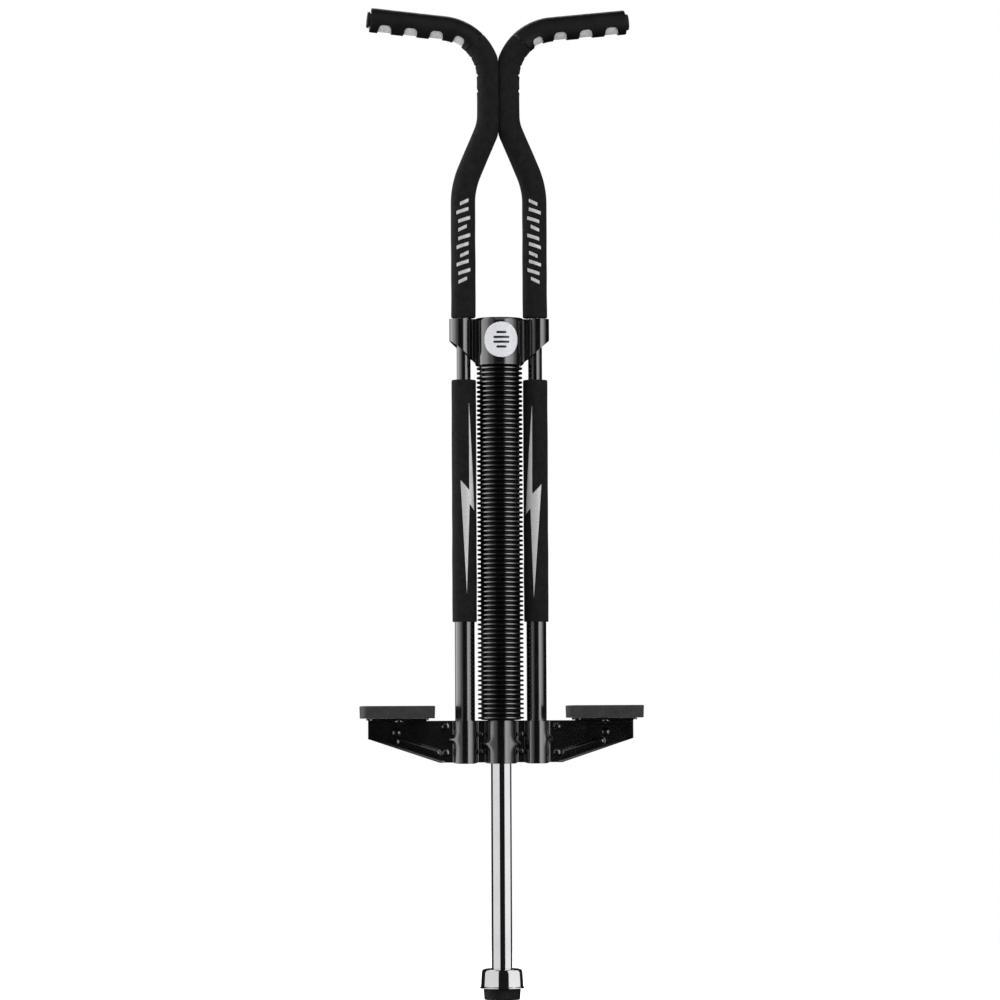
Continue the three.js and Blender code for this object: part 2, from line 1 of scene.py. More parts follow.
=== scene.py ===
import math
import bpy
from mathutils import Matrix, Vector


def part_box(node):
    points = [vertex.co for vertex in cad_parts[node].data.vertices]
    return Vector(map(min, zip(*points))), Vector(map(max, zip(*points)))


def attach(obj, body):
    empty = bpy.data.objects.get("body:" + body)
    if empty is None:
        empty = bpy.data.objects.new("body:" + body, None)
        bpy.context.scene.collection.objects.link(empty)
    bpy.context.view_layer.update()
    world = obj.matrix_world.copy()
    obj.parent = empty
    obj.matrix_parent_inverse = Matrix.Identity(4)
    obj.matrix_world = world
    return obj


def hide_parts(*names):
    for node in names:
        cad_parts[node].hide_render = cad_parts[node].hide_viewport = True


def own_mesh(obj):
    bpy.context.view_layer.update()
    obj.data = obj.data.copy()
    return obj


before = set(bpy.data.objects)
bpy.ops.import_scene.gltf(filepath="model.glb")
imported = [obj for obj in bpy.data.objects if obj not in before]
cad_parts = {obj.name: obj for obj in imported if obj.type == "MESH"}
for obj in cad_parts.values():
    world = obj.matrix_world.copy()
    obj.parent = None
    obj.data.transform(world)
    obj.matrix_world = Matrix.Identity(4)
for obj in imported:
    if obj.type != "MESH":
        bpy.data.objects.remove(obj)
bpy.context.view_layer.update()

from types import SimpleNamespace

import bmesh
import bpy
import numpy as np
from mathutils import Matrix, Vector

# Sizes are in millimetres, and meshes are turned into metres as they are made. Lights, camera and the
# scales of materials are in metres.
MM = 0.001
GAP = 0.3  # between neighbouring pieces
SHEET = 2.0  # thickness of the pressed steel


def cad(node):
    """The box of a CAD node at rest, in millimetres, with its middle and its radius about its own axis."""
    low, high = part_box(node)
    low, high = low / MM, high / MM
    return SimpleNamespace(
        x0=low.x, x1=high.x, y0=low.y, y1=high.y, z0=low.z, z1=high.z,
        x=(low.x + high.x) / 2, y=(low.y + high.y) / 2, z=(low.z + high.z) / 2,
        r=(high.y - low.y) / 2,
    )


# ---------------------------------------------------------------- materials

def blank(name, color, roughness, metallic=0.0, **sockets):
    """A material with its constant values on the shader's own sockets."""
    made = bpy.data.materials.new(name)
    made.use_nodes = True
    made.diffuse_color = (*color, 1)
    shader = made.node_tree.nodes["Principled BSDF"]
    shader.inputs["Base Color"].default_value = (*color, 1)
    shader.inputs["Roughness"].default_value = roughness
    shader.inputs["Metallic"].default_value = metallic
    for key, value in sockets.items():
        shader.inputs[key.replace("_", " ")].default_value = value
    return made


def node(made, kind, links=(), **values):
    """Adds a shader node. links is {input: output socket}; values are set on its properties or inputs."""
    added = made.node_tree.nodes.new(kind)
    for key, value in values.items():
        if hasattr(added, key):
            setattr(added, key, value)
        else:
            added.inputs[key.replace("_", " ")].default_value = value
    for key, output in dict(links).items():
        made.node_tree.links.new(output, added.inputs[key])
    return added


def place(made, stretch=(1, 1, 1)):
    """Object coordinates in metres, stretched along the axes."""
    coords = node(made, "ShaderNodeTexCoord")
    return node(made, "ShaderNodeMapping", {"Vector": coords.outputs["Object"]}, Scale=stretch).outputs[0]


def noise(made, scale, detail=3.0, roughness=0.55, stretch=(1, 1, 1)):
    return node(made, "ShaderNodeTexNoise", {"Vector": place(made, stretch)},
                Scale=scale, Detail=detail, Roughness=roughness).outputs["Fac"]


def cells(made, scale, feature="F1"):
    return node(made, "ShaderNodeTexVoronoi", {"Vector": place(made)}, feature=feature, Scale=scale).outputs


def spread(made, source, low, high, start=0.3, end=0.7):
    """Maps a 0-1 pattern to a range of values."""
    mapped = node(made, "ShaderNodeMapRange", {"Value": source})
    for key, value in (("From Min", start), ("From Max", end), ("To Min", low), ("To Max", high)):
        mapped.inputs[key].default_value = value
    return mapped.outputs[0]


def tint(made, source, dark, light, start=0.3, end=0.7):
    """Colours a 0-1 pattern between two colours."""
    ramp = node(made, "ShaderNodeValToRGB", {"Fac": source})
    ramp.color_ramp.elements[0].position = start
    ramp.color_ramp.elements[1].position = end
    ramp.color_ramp.elements[0].color = (*dark, 1)
    ramp.color_ramp.elements[1].color = (*light, 1)
    return ramp.outputs[0]


def feed(made, socket, output):
    shader = made.node_tree.nodes["Principled BSDF"]
    made.node_tree.links.new(output, shader.inputs[socket])


def relief(made, *layers):
    """Stacks bump layers, each (pattern, strength, height in metres)."""
    normal = None
    for pattern, strength, height in layers:
        links = {"Height": pattern}
        if normal is not None:
            links["Normal"] = normal
        normal = node(made, "ShaderNodeBump", links, Strength=strength, Distance=height).outputs[0]
    feed(made, "Normal", normal)


def grey(value, warm=0.0):
    return (value * (1 + warm), value, value * (1 - warm))


def vary(made, tones, tone_noise, gloss, gloss_noise, tone_span=(0.3, 0.7), gloss_span=(0.3, 0.7)):
    """Clouds a material's colour between two tones, and its roughness between two values, over two noises."""
    feed(made, "Base Color", tint(made, noise(made, *tone_noise), *tones, *tone_span))
    feed(made, "Roughness", spread(made, noise(made, *gloss_noise), *gloss, *gloss_span))


def from_axis(made, axes=(1, 1, 1)):
    """The distance in metres from the origin, or with (1, 1, 0) from the upright axis."""
    coords = node(made, "ShaderNodeTexCoord").outputs["Object"]
    kept = node(made, "ShaderNodeVectorMath", {0: coords}, operation="MULTIPLY")
    kept.inputs[1].default_value = axes
    return node(made, "ShaderNodeVectorMath", {0: kept.outputs[0]}, operation="LENGTH").outputs["Value"]


def black_paint():
    """Gloss powder coat: faint orange peel, a little dust in the gloss."""
    made = blank("black_paint", grey(0.004), 0.14, IOR=2.1)
    vary(made, (grey(0.002), grey(0.006)), (35, 4), (0.10, 0.19), (60, 5))
    relief(made, (noise(made, 300, 2), 0.03, 0.00008), (noise(made, 2600, 2), 0.04, 0.00002))
    return made


def cover_plastic():
    """Gloss black corrugated tube: moulding flow in the gloss, and the gloss turned down in the grooves as
    dust and as painted shade.
    """
    made = blank("cover_plastic", grey(0.004), 0.15, IOR=2.4)
    vary(made, (grey(0.003), grey(0.006)), (90, 4), (0.10, 0.20), (120, 4, 0.55, (1, 1, 0.3)))
    relief(made, (noise(made, 700, 2), 0.02, 0.00004))
    groove, crest = 0.0218, 0.0236
    # painted shade with dust: the specular level falls from the crests to the groove roots, to darken the
    # grooves where shade falls
    feed(made, "Specular IOR Level", spread(made, from_axis(made, (1, 1, 0)), 0.03, 0.5, groove, crest))
    return made


def black_plastic():
    """Satin moulded plastic."""
    made = blank("black_plastic", grey(0.008), 0.5, Specular_IOR_Level=0.3)
    vary(made, (grey(0.006), grey(0.012)), (80, 3), (0.4, 0.58), (200, 4))
    relief(made, (noise(made, 3000, 2), 0.25, 0.00005))
    return made


def foam_sleeve():
    """Closed-cell foam: fine open cells on the skin, cloudy matt black."""
    made = blank("foam_sleeve", grey(0.009), 0.88, Specular_IOR_Level=0.16, Sheen_Weight=0.03,
                 Sheen_Roughness=0.5)
    vary(made, (grey(0.005), grey(0.013)), (140, 6, 0.7), (0.78, 0.95), (300, 4))
    relief(made, (noise(made, 260, 4, 0.6), 0.35, 0.0003), (cells(made, 1500)["Distance"], 0.5, 0.00025),
           (noise(made, 3800, 2), 0.35, 0.0001))
    return made


def grip_rubber():
    """Moulded rubber with a fine leathery grain."""
    made = blank("grip_rubber", grey(0.004), 0.5, Specular_IOR_Level=0.26)
    vary(made, (grey(0.002), grey(0.006)), (60, 4), (0.45, 0.66), (150, 4))
    grain = cells(made, 1100, "SMOOTH_F1")["Distance"]
    relief(made, (grain, 0.3, 0.0002), (noise(made, 500, 3), 0.12, 0.0002))
    return made


def grip_core():
    """Light grey core: cross-hatched moulded texture, slightly grubby."""
    made = blank("grip_core", grey(0.5), 0.62)
    vary(made, (grey(0.52, 0.01), grey(0.78, 0.01)), (220, 5, 0.65), (0.5, 0.72), (300, 3), (0.25, 0.75))
    ribs = node(made, "ShaderNodeTexWave", {"Vector": place(made)}, bands_direction="DIAGONAL", Scale=260.0,
                Distortion=1.5, Detail=2.0)
    relief(made, (ribs.outputs["Fac"], 0.35, 0.0004), (noise(made, 2000, 3), 0.3, 0.0001))
    return made


def pad_rubber():
    """Dark grey moulded rubber, chalky on its surface."""
    made = blank("pad_rubber", grey(0.05), 0.8, Specular_IOR_Level=0.3, Sheen_Weight=0.05)
    vary(made, (grey(0.020), grey(0.044)), (70, 6, 0.68), (0.68, 0.9), (130, 4), (0.25, 0.75))
    relief(made, (noise(made, 900, 4, 0.6), 0.4, 0.00025), (cells(made, 2600)["Distance"], 0.3, 0.0001))
    return made


def tip_rubber():
    """Black rubber, scuffed by the ground."""
    made = blank("tip_rubber", grey(0.008), 0.75, Specular_IOR_Level=0.25)
    vary(made, (grey(0.004), grey(0.014)), (180, 5, 0.7), (0.62, 0.9), (240, 4))
    relief(made, (noise(made, 600, 5, 0.65), 0.5, 0.0003), (noise(made, 3000, 2), 0.4, 0.0001))
    return made


def chrome():
    """Chrome plate with fine lengthways rub marks and a few smudges."""
    made = blank("chrome", grey(0.86), 0.06, 1.0)
    vary(made, ((0.70, 0.70, 0.72), (0.80, 0.80, 0.81)), (24, 4), (0.035, 0.11), (55, 6, 0.7),
         gloss_span=(0.35, 0.75))
    relief(made, (noise(made, 900, 3, 0.6, (1, 1, 0.02)), 0.05, 0.00003))
    return made


def zinc_steel():
    """Zinc-plated steel, drawn lengthways."""
    made = blank("zinc_steel", grey(0.5), 0.34, 1.0)
    vary(made, ((0.42, 0.42, 0.44), grey(0.6)), (160, 5, 0.6), (0.25, 0.45), (300, 4))
    relief(made, (noise(made, 1500, 3, stretch=(1, 1, 0.15)), 0.15, 0.0001))
    return made


def silver_print():
    """Screen-printed silver: the foam's skin shows through it."""
    made = blank("silver_print", grey(0.5), 0.45, 0.3)
    vary(made, (grey(0.42), (0.66, 0.66, 0.67)), (900, 5, 0.7), (0.4, 0.62), (700, 4), (0.3, 0.6))
    relief(made, (cells(made, 1500)["Distance"], 0.4, 0.0002), (noise(made, 260, 4), 0.3, 0.0003))
    return made


def badge_silver():
    """Silver foil with a fine sparkle."""
    made = blank("badge_silver", (0.75, 0.76, 0.79), 0.6, 0.1, Specular_IOR_Level=0.3)
    flakes = node(made, "ShaderNodeSeparateColor", {"Color": cells(made, 2400)["Color"]}).outputs
    feed(made, "Base Color", tint(made, flakes[0], (0.64, 0.65, 0.69), (0.86, 0.87, 0.90), 0.05, 0.95))
    feed(made, "Roughness", spread(made, flakes[1], 0.45, 0.75, 0.0, 1.0))
    relief(made, (flakes[2], 0.12, 0.0001))
    return made


def badge_ink():
    """Dark ink under a thin varnish."""
    made = blank("badge_ink", (0.012, 0.014, 0.02), 0.35, Coat_Weight=0.4, Coat_Roughness=0.08)
    vary(made, ((0.009, 0.010, 0.016), (0.02, 0.022, 0.03)), (500, 3), (0.28, 0.42), (400, 3))
    relief(made, (noise(made, 1600, 2), 0.1, 0.00005))
    return made


def floor_paper():
    """Studio paper: it glows a little to the eye and fades out into the white round it, and no gloss mirrors
    it."""
    made = blank("floor_paper", grey(0.92), 0.9)
    feed(made, "Base Color", tint(made, noise(made, 3, 3), grey(0.90), grey(0.94)))
    path = node(made, "ShaderNodeLightPath").outputs
    feed(made, "Emission Strength", spread(made, path["Is Camera Ray"], 0.0, 0.82, 0.0, 1.0))
    faded = spread(made, from_axis(made), 1.0, 0.0, 0.35, 1.3)
    unseen = spread(made, path["Is Glossy Ray"], 1.0, 0.0, 0.0, 1.0)
    feed(made, "Alpha", node(made, "ShaderNodeMath", {0: faded, 1: unseen}, operation="MULTIPLY").outputs[0])
    return made


LOOKS = {look.__name__: look() for look in (
    black_paint, cover_plastic, black_plastic, foam_sleeve, grip_rubber, grip_core, pad_rubber, tip_rubber,
    chrome, zinc_steel, silver_print, badge_silver, badge_ink, floor_paper)}


# ---------------------------------------------------------------- mesh making

def make(name, verts, faces, look, sharp=32):
    """A mesh object in metres, faces turned outwards, smooth except across sharp edges."""
    mesh = bpy.data.meshes.new(name)
    mesh.from_pydata((np.asarray(verts, float) * MM).tolist(), [], faces)
    work = bmesh.new()
    work.from_mesh(mesh)
    bmesh.ops.remove_doubles(work, verts=work.verts, dist=1e-7)
    bmesh.ops.recalc_face_normals(work, faces=work.faces)
    work.to_mesh(mesh)
    work.free()
    mesh.shade_smooth()
    mesh.set_sharp_from_angle(angle=math.radians(sharp))
    mesh.materials.append(LOOKS[look])
    made = bpy.data.objects.new(name, mesh)
    bpy.context.scene.collection.objects.link(made)
    return made


def fit(made, *nodes, body="frame"):
    """Rides the piece on its body, and lets it stand for the CAD nodes it details."""
    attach(made, body)
    if nodes:
        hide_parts(*nodes)
    return made


def rounded(points, steps=4):
    """Rounds the corners of an outline. Each point is (a, b) or (a, b, radius)."""
    out = []
    count = len(points)
    for i, point in enumerate(points):
        here = np.array(point[:2], float)
        radius = point[2] if len(point) > 2 else 0
        if radius <= 0:
            out.append(here)
            continue
        back = np.array(points[i - 1][:2], float) - here
        ahead = np.array(points[(i + 1) % count][:2], float) - here
        back_length, ahead_length = np.linalg.norm(back), np.linalg.norm(ahead)
        back, ahead = back / back_length, ahead / ahead_length
        half = math.acos(np.clip(back @ ahead, -1, 1)) / 2
        trim = min(radius / math.tan(half), 0.49 * back_length, 0.49 * ahead_length)
        start, end = here + back * trim, here + ahead * trim
        for k in range(steps + 1):
            t = k / steps
            out.append((1 - t) ** 2 * start + 2 * t * (1 - t) * here + t ** 2 * end)
    return np.array(out)


def dense(points, step):
    """Splits an outline's long edges so that none is longer than step along its second axis."""
    out = []
    for a, b in zip(points, np.roll(points, -1, 0)):
        parts = max(1, math.ceil(abs(b[1] - a[1]) / step))
        out += [a + (b - a) * k / parts for k in range(parts)]
    return np.array(out)


def hollow(bore, radius, low, high, corners):
    """The outline of a tube. The corners' radii go round from the bottom of its bore."""
    places = ((bore, low), (radius, low), (radius, high), (bore, high))
    return rounded([(*at, corner) for at, corner in zip(places, corners)])


def upright(x=0.0, y=0.0):
    """A place on a vertical axis: distance along it is height."""
    def at(s):
        flat = np.zeros_like(s)
        return np.stack([flat + x, flat + y, s], -1), np.array([1.0, 0, 0]), np.array([0, 1.0, 0])
    return at


def level(x, z):
    """A place on an axis along Y."""
    def at(s):
        flat = np.zeros_like(s)
        return np.stack([flat + x, s, flat + z], -1), np.array([1.0, 0, 0]), np.array([0, 0, 1.0])
    return at


def about(at, points, s):
    """Each point's direction out from its axis, its distance from it, and the place on the axis beside it."""
    centre = at(s[:, 0])[0][:, None]
    out = points - centre
    radius = np.linalg.norm(out, axis=-1)
    return out / radius[..., None], radius, centre


def make_used(name, verts, faces, look, sharp):
    """Makes a mesh of the points that its faces use."""
    used = sorted({int(n) for face in faces for n in face})
    new_index = {n: m for m, n in enumerate(used)}
    return make(name, verts[used], [[new_index[int(n)] for n in face] for face in faces], look, sharp)


def ring_faces(rows, count, start=0):
    """The faces of a tube of rings with count points each, closed at both ends."""
    last = start + (rows - 1) * count
    faces = [[i + k, i + (k + 1) % count, i + count + (k + 1) % count, i + count + k]
             for i in range(start, last, count) for k in range(count)]
    return faces + [list(range(start, start + count))[::-1], list(range(last, last + count))]


def turned(name, outline, look, at=upright(), sides=72, warp=None, sharp=32, closed=True):
    """Turns an outline of (radius, distance along the axis) points about an axis, straight or bent.
    warp(points, distances, angles) may shift the points before the mesh is made."""
    outline = np.asarray(outline, float)
    angles = np.arange(sides) * 2 * math.pi / sides
    origin, across, beside = at(outline[:, 1])
    across = np.broadcast_to(across, origin.shape)
    beside = np.broadcast_to(beside, origin.shape)
    ring = across[:, None] * np.cos(angles)[None, :, None] + beside[:, None] * np.sin(angles)[None, :, None]
    points = origin[:, None] + outline[:, 0][:, None, None] * ring
    if warp is not None:
        distances = np.broadcast_to(outline[:, 1][:, None], points.shape[:2])
        points = warp(points, distances, np.broadcast_to(angles[None], points.shape[:2]))
    faces = []
    rows = len(outline)
    on_axis = outline[:, 0] < 1e-6
    for i in range(rows if closed else rows - 1):
        j = (i + 1) % rows
        if on_axis[i] and on_axis[j]:
            continue
        for k in range(sides):
            m = (k + 1) % sides
            corner = [i * sides + k, i * sides + m, j * sides + m, j * sides + k]
            if on_axis[i]:
                corner = [i * sides, j * sides + m, j * sides + k]
            elif on_axis[j]:
                corner = [i * sides + k, i * sides + m, j * sides]
            faces.append(corner)
    return make_used(name, points.reshape(-1, 3), faces, look, sharp)


def patch(name, us, vs, inside, to_space, look, wrap=False, sharp=40):
    """Keeps the part of a (u, v) grid where inside(u, v) < 0, with its edge moved onto the outline."""
    u, v = (axis.astype(float) for axis in np.meshgrid(us, vs, indexing="ij"))
    rows, cols = u.shape
    col_count = cols if wrap else cols - 1
    step_u, step_v = us[1] - us[0], vs[1] - vs[0]
    keep = inside(*np.meshgrid(us[:-1] + step_u / 2, vs[:col_count] + step_v / 2, indexing="ij")) < 0
    # an edge point touches fewer kept faces than it could
    touched = np.zeros((rows, cols), int)
    for a in (0, 1):
        for b in (0, 1):
            if wrap:
                touched[a:rows - 1 + a] += np.roll(keep, b, axis=1)
            else:
                touched[a:rows - 1 + a, b:cols - 1 + b] += keep
    most = np.full((rows, cols), 4)
    most[[0, -1]] = 2
    if not wrap:
        most[:, [0, -1]] //= 2
    edge = (touched > 0) & (touched < most)
    e = 1e-3
    for _ in range(3):
        slope_u = (inside(u + e, v) - inside(u - e, v)) / (2 * e)
        slope_v = (inside(u, v + e) - inside(u, v - e)) / (2 * e)
        steepness = np.maximum(slope_u ** 2 + slope_v ** 2, 0.3)
        move = np.where(edge, np.clip(inside(u, v) / steepness, -step_u, step_u), 0)
        u, v = u - move * slope_u, v - move * slope_v
    faces = []
    for i, j in zip(*np.nonzero(keep)):
        k = (j + 1) % cols
        faces.append([i * cols + j, i * cols + k, (i + 1) * cols + k, (i + 1) * cols + j])
    return make_used(name, to_space(u, v).reshape(-1, 3), faces, look, sharp)


def outwards(made, away_from):
    """Turns an open skin's faces away from a point (x, y, z in mm; None leaves an axis out)."""
    mesh = made.data
    total = 0.0
    for polygon in mesh.polygons:
        direction = [c / MM - (a if a is not None else c / MM) for c, a in zip(polygon.center, away_from)]
        total += polygon.area * polygon.normal.dot(Vector(direction).normalized())
    if total < 0:
        mesh.flip_normals()
    return made


def thicken(made, thickness, offset=-1.0, bevel=0.0, bevel_steps=2):
    """Gives an open skin its thickness, and rounds its edges."""
    solid = made.modifiers.new("thickness", "SOLIDIFY")
    solid.thickness = thickness * MM
    solid.offset = offset
    if bevel:
        edge = made.modifiers.new("round", "BEVEL")
        edge.width = bevel * MM
        edge.segments = bevel_steps
        edge.limit_method = "ANGLE"
        edge.angle_limit = math.radians(50)
    return made


def twin(made, name, matrix):
    """A copy of a piece, turned or mirrored by a matrix, with the same thickness and rounding."""
    mesh = made.data.copy()
    mesh.transform(matrix)
    if matrix.determinant() < 0:
        mesh.flip_normals()
    copy = bpy.data.objects.new(name, mesh)
    bpy.context.scene.collection.objects.link(copy)
    for old in made.modifiers:
        new = copy.modifiers.new(old.name, old.type)
        for key in ("thickness", "offset", "width", "segments", "limit_method", "angle_limit"):
            if hasattr(old, key):
                setattr(new, key, getattr(old, key))
    return copy


def polygon_distance(points):
    """Signed distance to a closed polygon, negative inside."""
    corners = np.array(points, float)

    def inside(u, v):
        best = np.full(np.shape(u), 1e9)
        crossing = np.zeros(np.shape(u), bool)
        for a, b in zip(corners, np.roll(corners, -1, 0)):
            edge = b - a
            t = np.clip(((u - a[0]) * edge[0] + (v - a[1]) * edge[1]) / (edge @ edge), 0, 1)
            best = np.minimum(best, np.hypot(u - a[0] - t * edge[0], v - a[1] - t * edge[1]))
            if abs(edge[1]) > 1e-9:
                spans = (a[1] > v) != (b[1] > v)
                crossing ^= spans & (u < a[0] + edge[0] * (v - a[1]) / edge[1])
        return np.where(crossing, -best, best)
    return inside


def box_distance(u, v, half_u, half_v, radius):
    """Signed distance to a rounded rectangle about the origin."""
    du, dv = np.abs(u) - half_u + radius, np.abs(v) - half_v + radius
    return np.hypot(np.maximum(du, 0), np.maximum(dv, 0)) + np.minimum(np.maximum(du, dv), 0) - radius


def smooth(t):
    t = np.clip(t, 0, 1)
    return t * t * (3 - 2 * t)


# ---------------------------------------------------------------- the bars' centreline

foam_low = cad("foam_lower_right")
bar_foam = cad("foam_upper_right")
bar_tube = cad("handle_tube_right")
side_tube = cad("lower_tube_right")

TUBE_X = side_tube.x
FOAM_R = foam_low.r
HANDLE_R = bar_tube.r
HANDLE_LOW = bar_tube.z0
NECK_X = 9.8  # half the distance between the bars at the neck
NECK_LOW = 943.0
SHOULDER_Z = 875.5
NECK_BEND_R = 48.0
SHOULDER_BEND_R = 85.0
GRIP_BEND_Z = 994.0
GRIP_BEND_R = 54.0
GRIP_RISE = math.radians(5.9)
GRIP_END_X = 139.0
FOAM_END_TURN = math.radians(45)

SLANT = math.atan2(TUBE_X - NECK_X, NECK_LOW - SHOULDER_Z)
SHOULDER_TRIM = SHOULDER_BEND_R * math.tan(SLANT / 2)
NECK_TRIM = NECK_BEND_R * math.tan(SLANT / 2)
GRIP_TURN = math.pi / 2 - GRIP_RISE
GRIP_STRAIGHT = (GRIP_END_X - NECK_X - GRIP_BEND_R * (1 - math.cos(GRIP_TURN))) / math.sin(GRIP_TURN)
STRETCHES = (  # (length, turn) of each straight or round stretch, from the bottom up
    (SHOULDER_Z - SHOULDER_TRIM - HANDLE_LOW, 0.0),
    (SHOULDER_BEND_R * SLANT, -SLANT),
    ((NECK_LOW - SHOULDER_Z) / math.cos(SLANT) - SHOULDER_TRIM - NECK_TRIM, 0.0),
    (NECK_BEND_R * SLANT, SLANT),
    (GRIP_BEND_Z - NECK_LOW - NECK_TRIM, 0.0),
    (GRIP_BEND_R * GRIP_TURN, GRIP_TURN),
    (GRIP_STRAIGHT, 0.0),
)
BAR_LENGTH = sum(length for length, _ in STRETCHES)
GRIP_BEND_START = sum(length for length, _ in STRETCHES[:5])
GRIP_START = GRIP_BEND_START + GRIP_BEND_R * FOAM_END_TURN
FOAM_START = bar_foam.z0 - HANDLE_LOW


def along(distance):
    """(x, z, heading) of the right bar's centreline at a distance from its lower end."""
    x, z, heading, left = TUBE_X, HANDLE_LOW, 0.0, distance
    for length, turn in STRETCHES:
        part = min(left, length)
        bend = turn * part / length
        if abs(bend) > 1e-9:
            radius = part / bend
            x += radius * (math.cos(heading) - math.cos(heading + bend))
            z += radius * (math.sin(heading + bend) - math.sin(heading))
        else:
            x += part * math.sin(heading)
            z += part * math.cos(heading)
        heading += bend
        left -= part
        if left <= 0:
            break
    return x, z, heading


def bar(distances):
    spots = np.array([along(s) for s in distances])
    x, z, heading = spots.T
    flat = np.zeros_like(x)
    across = np.stack([np.cos(heading), flat, -np.sin(heading)], -1)
    return np.stack([x, flat, z], -1), across, np.array([0, 1.0, 0])


def at_end(s):
    """A straight axis that carries on from the bar's outer end."""
    x, z, heading = along(BAR_LENGTH)
    flat = np.zeros_like(s)
    origin = np.stack([x + s * math.sin(heading), flat, z + s * math.cos(heading)], -1)
    return origin, np.array([math.cos(heading), 0, -math.sin(heading)]), np.array([0, 1.0, 0])


def lumps(size, amount, seed):
    """A gentle unevenness, as a sum of a few waves along and round a sleeve."""
    draw = np.random.default_rng(seed)
    waves = [(draw.uniform(0.4, 1.6) / size, draw.integers(0, 4), draw.uniform(0, 6.3), draw.uniform(0.3, 1))
             for _ in range(9)]

    def height(s, angle):
        total = sum(w * np.cos(2 * math.pi * f * s + n * angle + p) for f, n, p, w in waves)
        return amount * total / 4
    return height


# ---------------------------------------------------------------- leg

def leg_pieces():
    shaft, tip, cap = cad("leg_shaft"), cad("rubber_tip"), cad("ferrule")
    wall = 2.0
    outline = hollow(shaft.r - wall, shaft.r, shaft.z0, shaft.z1, (0.4, 0.6, 0.6, 0.4))
    fit(turned("chrome_shaft", dense(outline, 40), "chrome", sides=96), "leg_shaft", body="leg")

    bore, top = shaft.r + GAP, cap.z1
    outline = rounded([
        (18.0, cap.z0, 0.3), (cap.r, cap.z0, 0.35), (cap.r, cap.z0 + 1.1, 0.5), (22.75, cap.z0 + 2.1, 1.2),
        (22.45, cap.z0 + 8, 4), (21.75, top - 3.6, 2.5), (20.9, top - 1.3, 1.4), (18.2, top - 0.45, 2),
        (bore, top, 0.2), (bore, top - 2.2, 0.2), (18.0, top - 4.2, 0.4),
    ], 5)
    fit(turned("chrome_ferrule", outline, "chrome", sides=96), "ferrule", body="leg")

    socket, height = 18.0 - GAP, 12.0
    grooves = []
    for radius in (5.0, 9.0, 13.0):  # shallow rings moulded in the sole
        grooves += [(radius - 0.9, 0.0, 0.2), (radius - 0.6, 0.9, 0.2), (radius + 0.6, 0.9, 0.2),
                    (radius + 0.9, 0.0, 0.2)]
    rim = tip.r - 0.15
    outline = rounded([(0, 0)] + grooves + [
        (18.5, 0.0, 1.0), (19.3, 1.6, 0.8), (rim, height - 2.2, 0.6), (rim, height - 0.2, 0.7),
        (socket, height, 0.3), (socket, tip.z1, 0.5), (bore, tip.z1, 0.5), (bore, height, 0.3), (0, height),
    ], 3)
    fit(turned("rubber_foot", outline, "tip_rubber", sides=96), "rubber_tip", body="leg")


# ---------------------------------------------------------------- side tubes, foam and handlebars

def both_sides(builder, name, *nodes, padded=None):
    """Builds the right-hand piece and its mirror image, and fits both."""
    right = builder()
    right.name = f"{name}_right"
    left = twin(right, f"{name}_left", Matrix.Diagonal((-1, 1, 1, 1)))
    for made, side in ((right, "right"), (left, "left")):
        fit(made, *[f"{n}_{side}" for n in nodes])


def side_tubes():
    def tube():
        bore, neck, top = side_tube.r - 1.6, HANDLE_R + GAP, side_tube.z1
        outline = rounded([
            (bore, side_tube.z0, 0.3), (side_tube.r, side_tube.z0, 0.5), (side_tube.r, top - 14, 3),
            (neck + 1.6, top - 6, 3), (neck + 1.6, top, 0.5), (neck, top, 0.3), (neck, top - 20),
            (bore, top - 28),
        ])
        return turned("side_tube", dense(outline, 40), "black_paint", upright(TUBE_X), 64)

    def sleeve():
        uneven = lumps(70, 0.16, 3)
        low, top, neck_top = foam_low.z0, foam_low.z1, side_tube.z1
        bore, neck = side_tube.r + GAP, HANDLE_R + GAP
        outline = dense(rounded([
            (bore, low, 0.3), (FOAM_R, low, 1.6), (FOAM_R, top, 1.6), (neck, top, 0.3), (neck, neck_top + 1),
            (neck + 2, neck_top + 1), (neck + 2, neck_top - 5), (bore, neck_top - 13),
        ]), 2.5)

        def warp(points, s, angle):
            out, radius, _ = about(upright(TUBE_X), points, s)
            skin = smooth(radius - bore - 0.6)
            return points + out * (uneven(s, angle) * skin)[..., None]
        return turned("foam_lower", outline, "foam_sleeve", upright(TUBE_X), 72, warp)

    both_sides(tube, "side_tube", "lower_tube")
    both_sides(sleeve, "lower_sleeve", "foam_lower", padded=0.95)


# wrinkles on the hollow side of the bend: (distance from its start, depth, width)
CREASES = ((-14, 1.9, 3.2), (4, 2.3, 3.6), (17, 1.6, 3.0), (31, 1.3, 3.4))


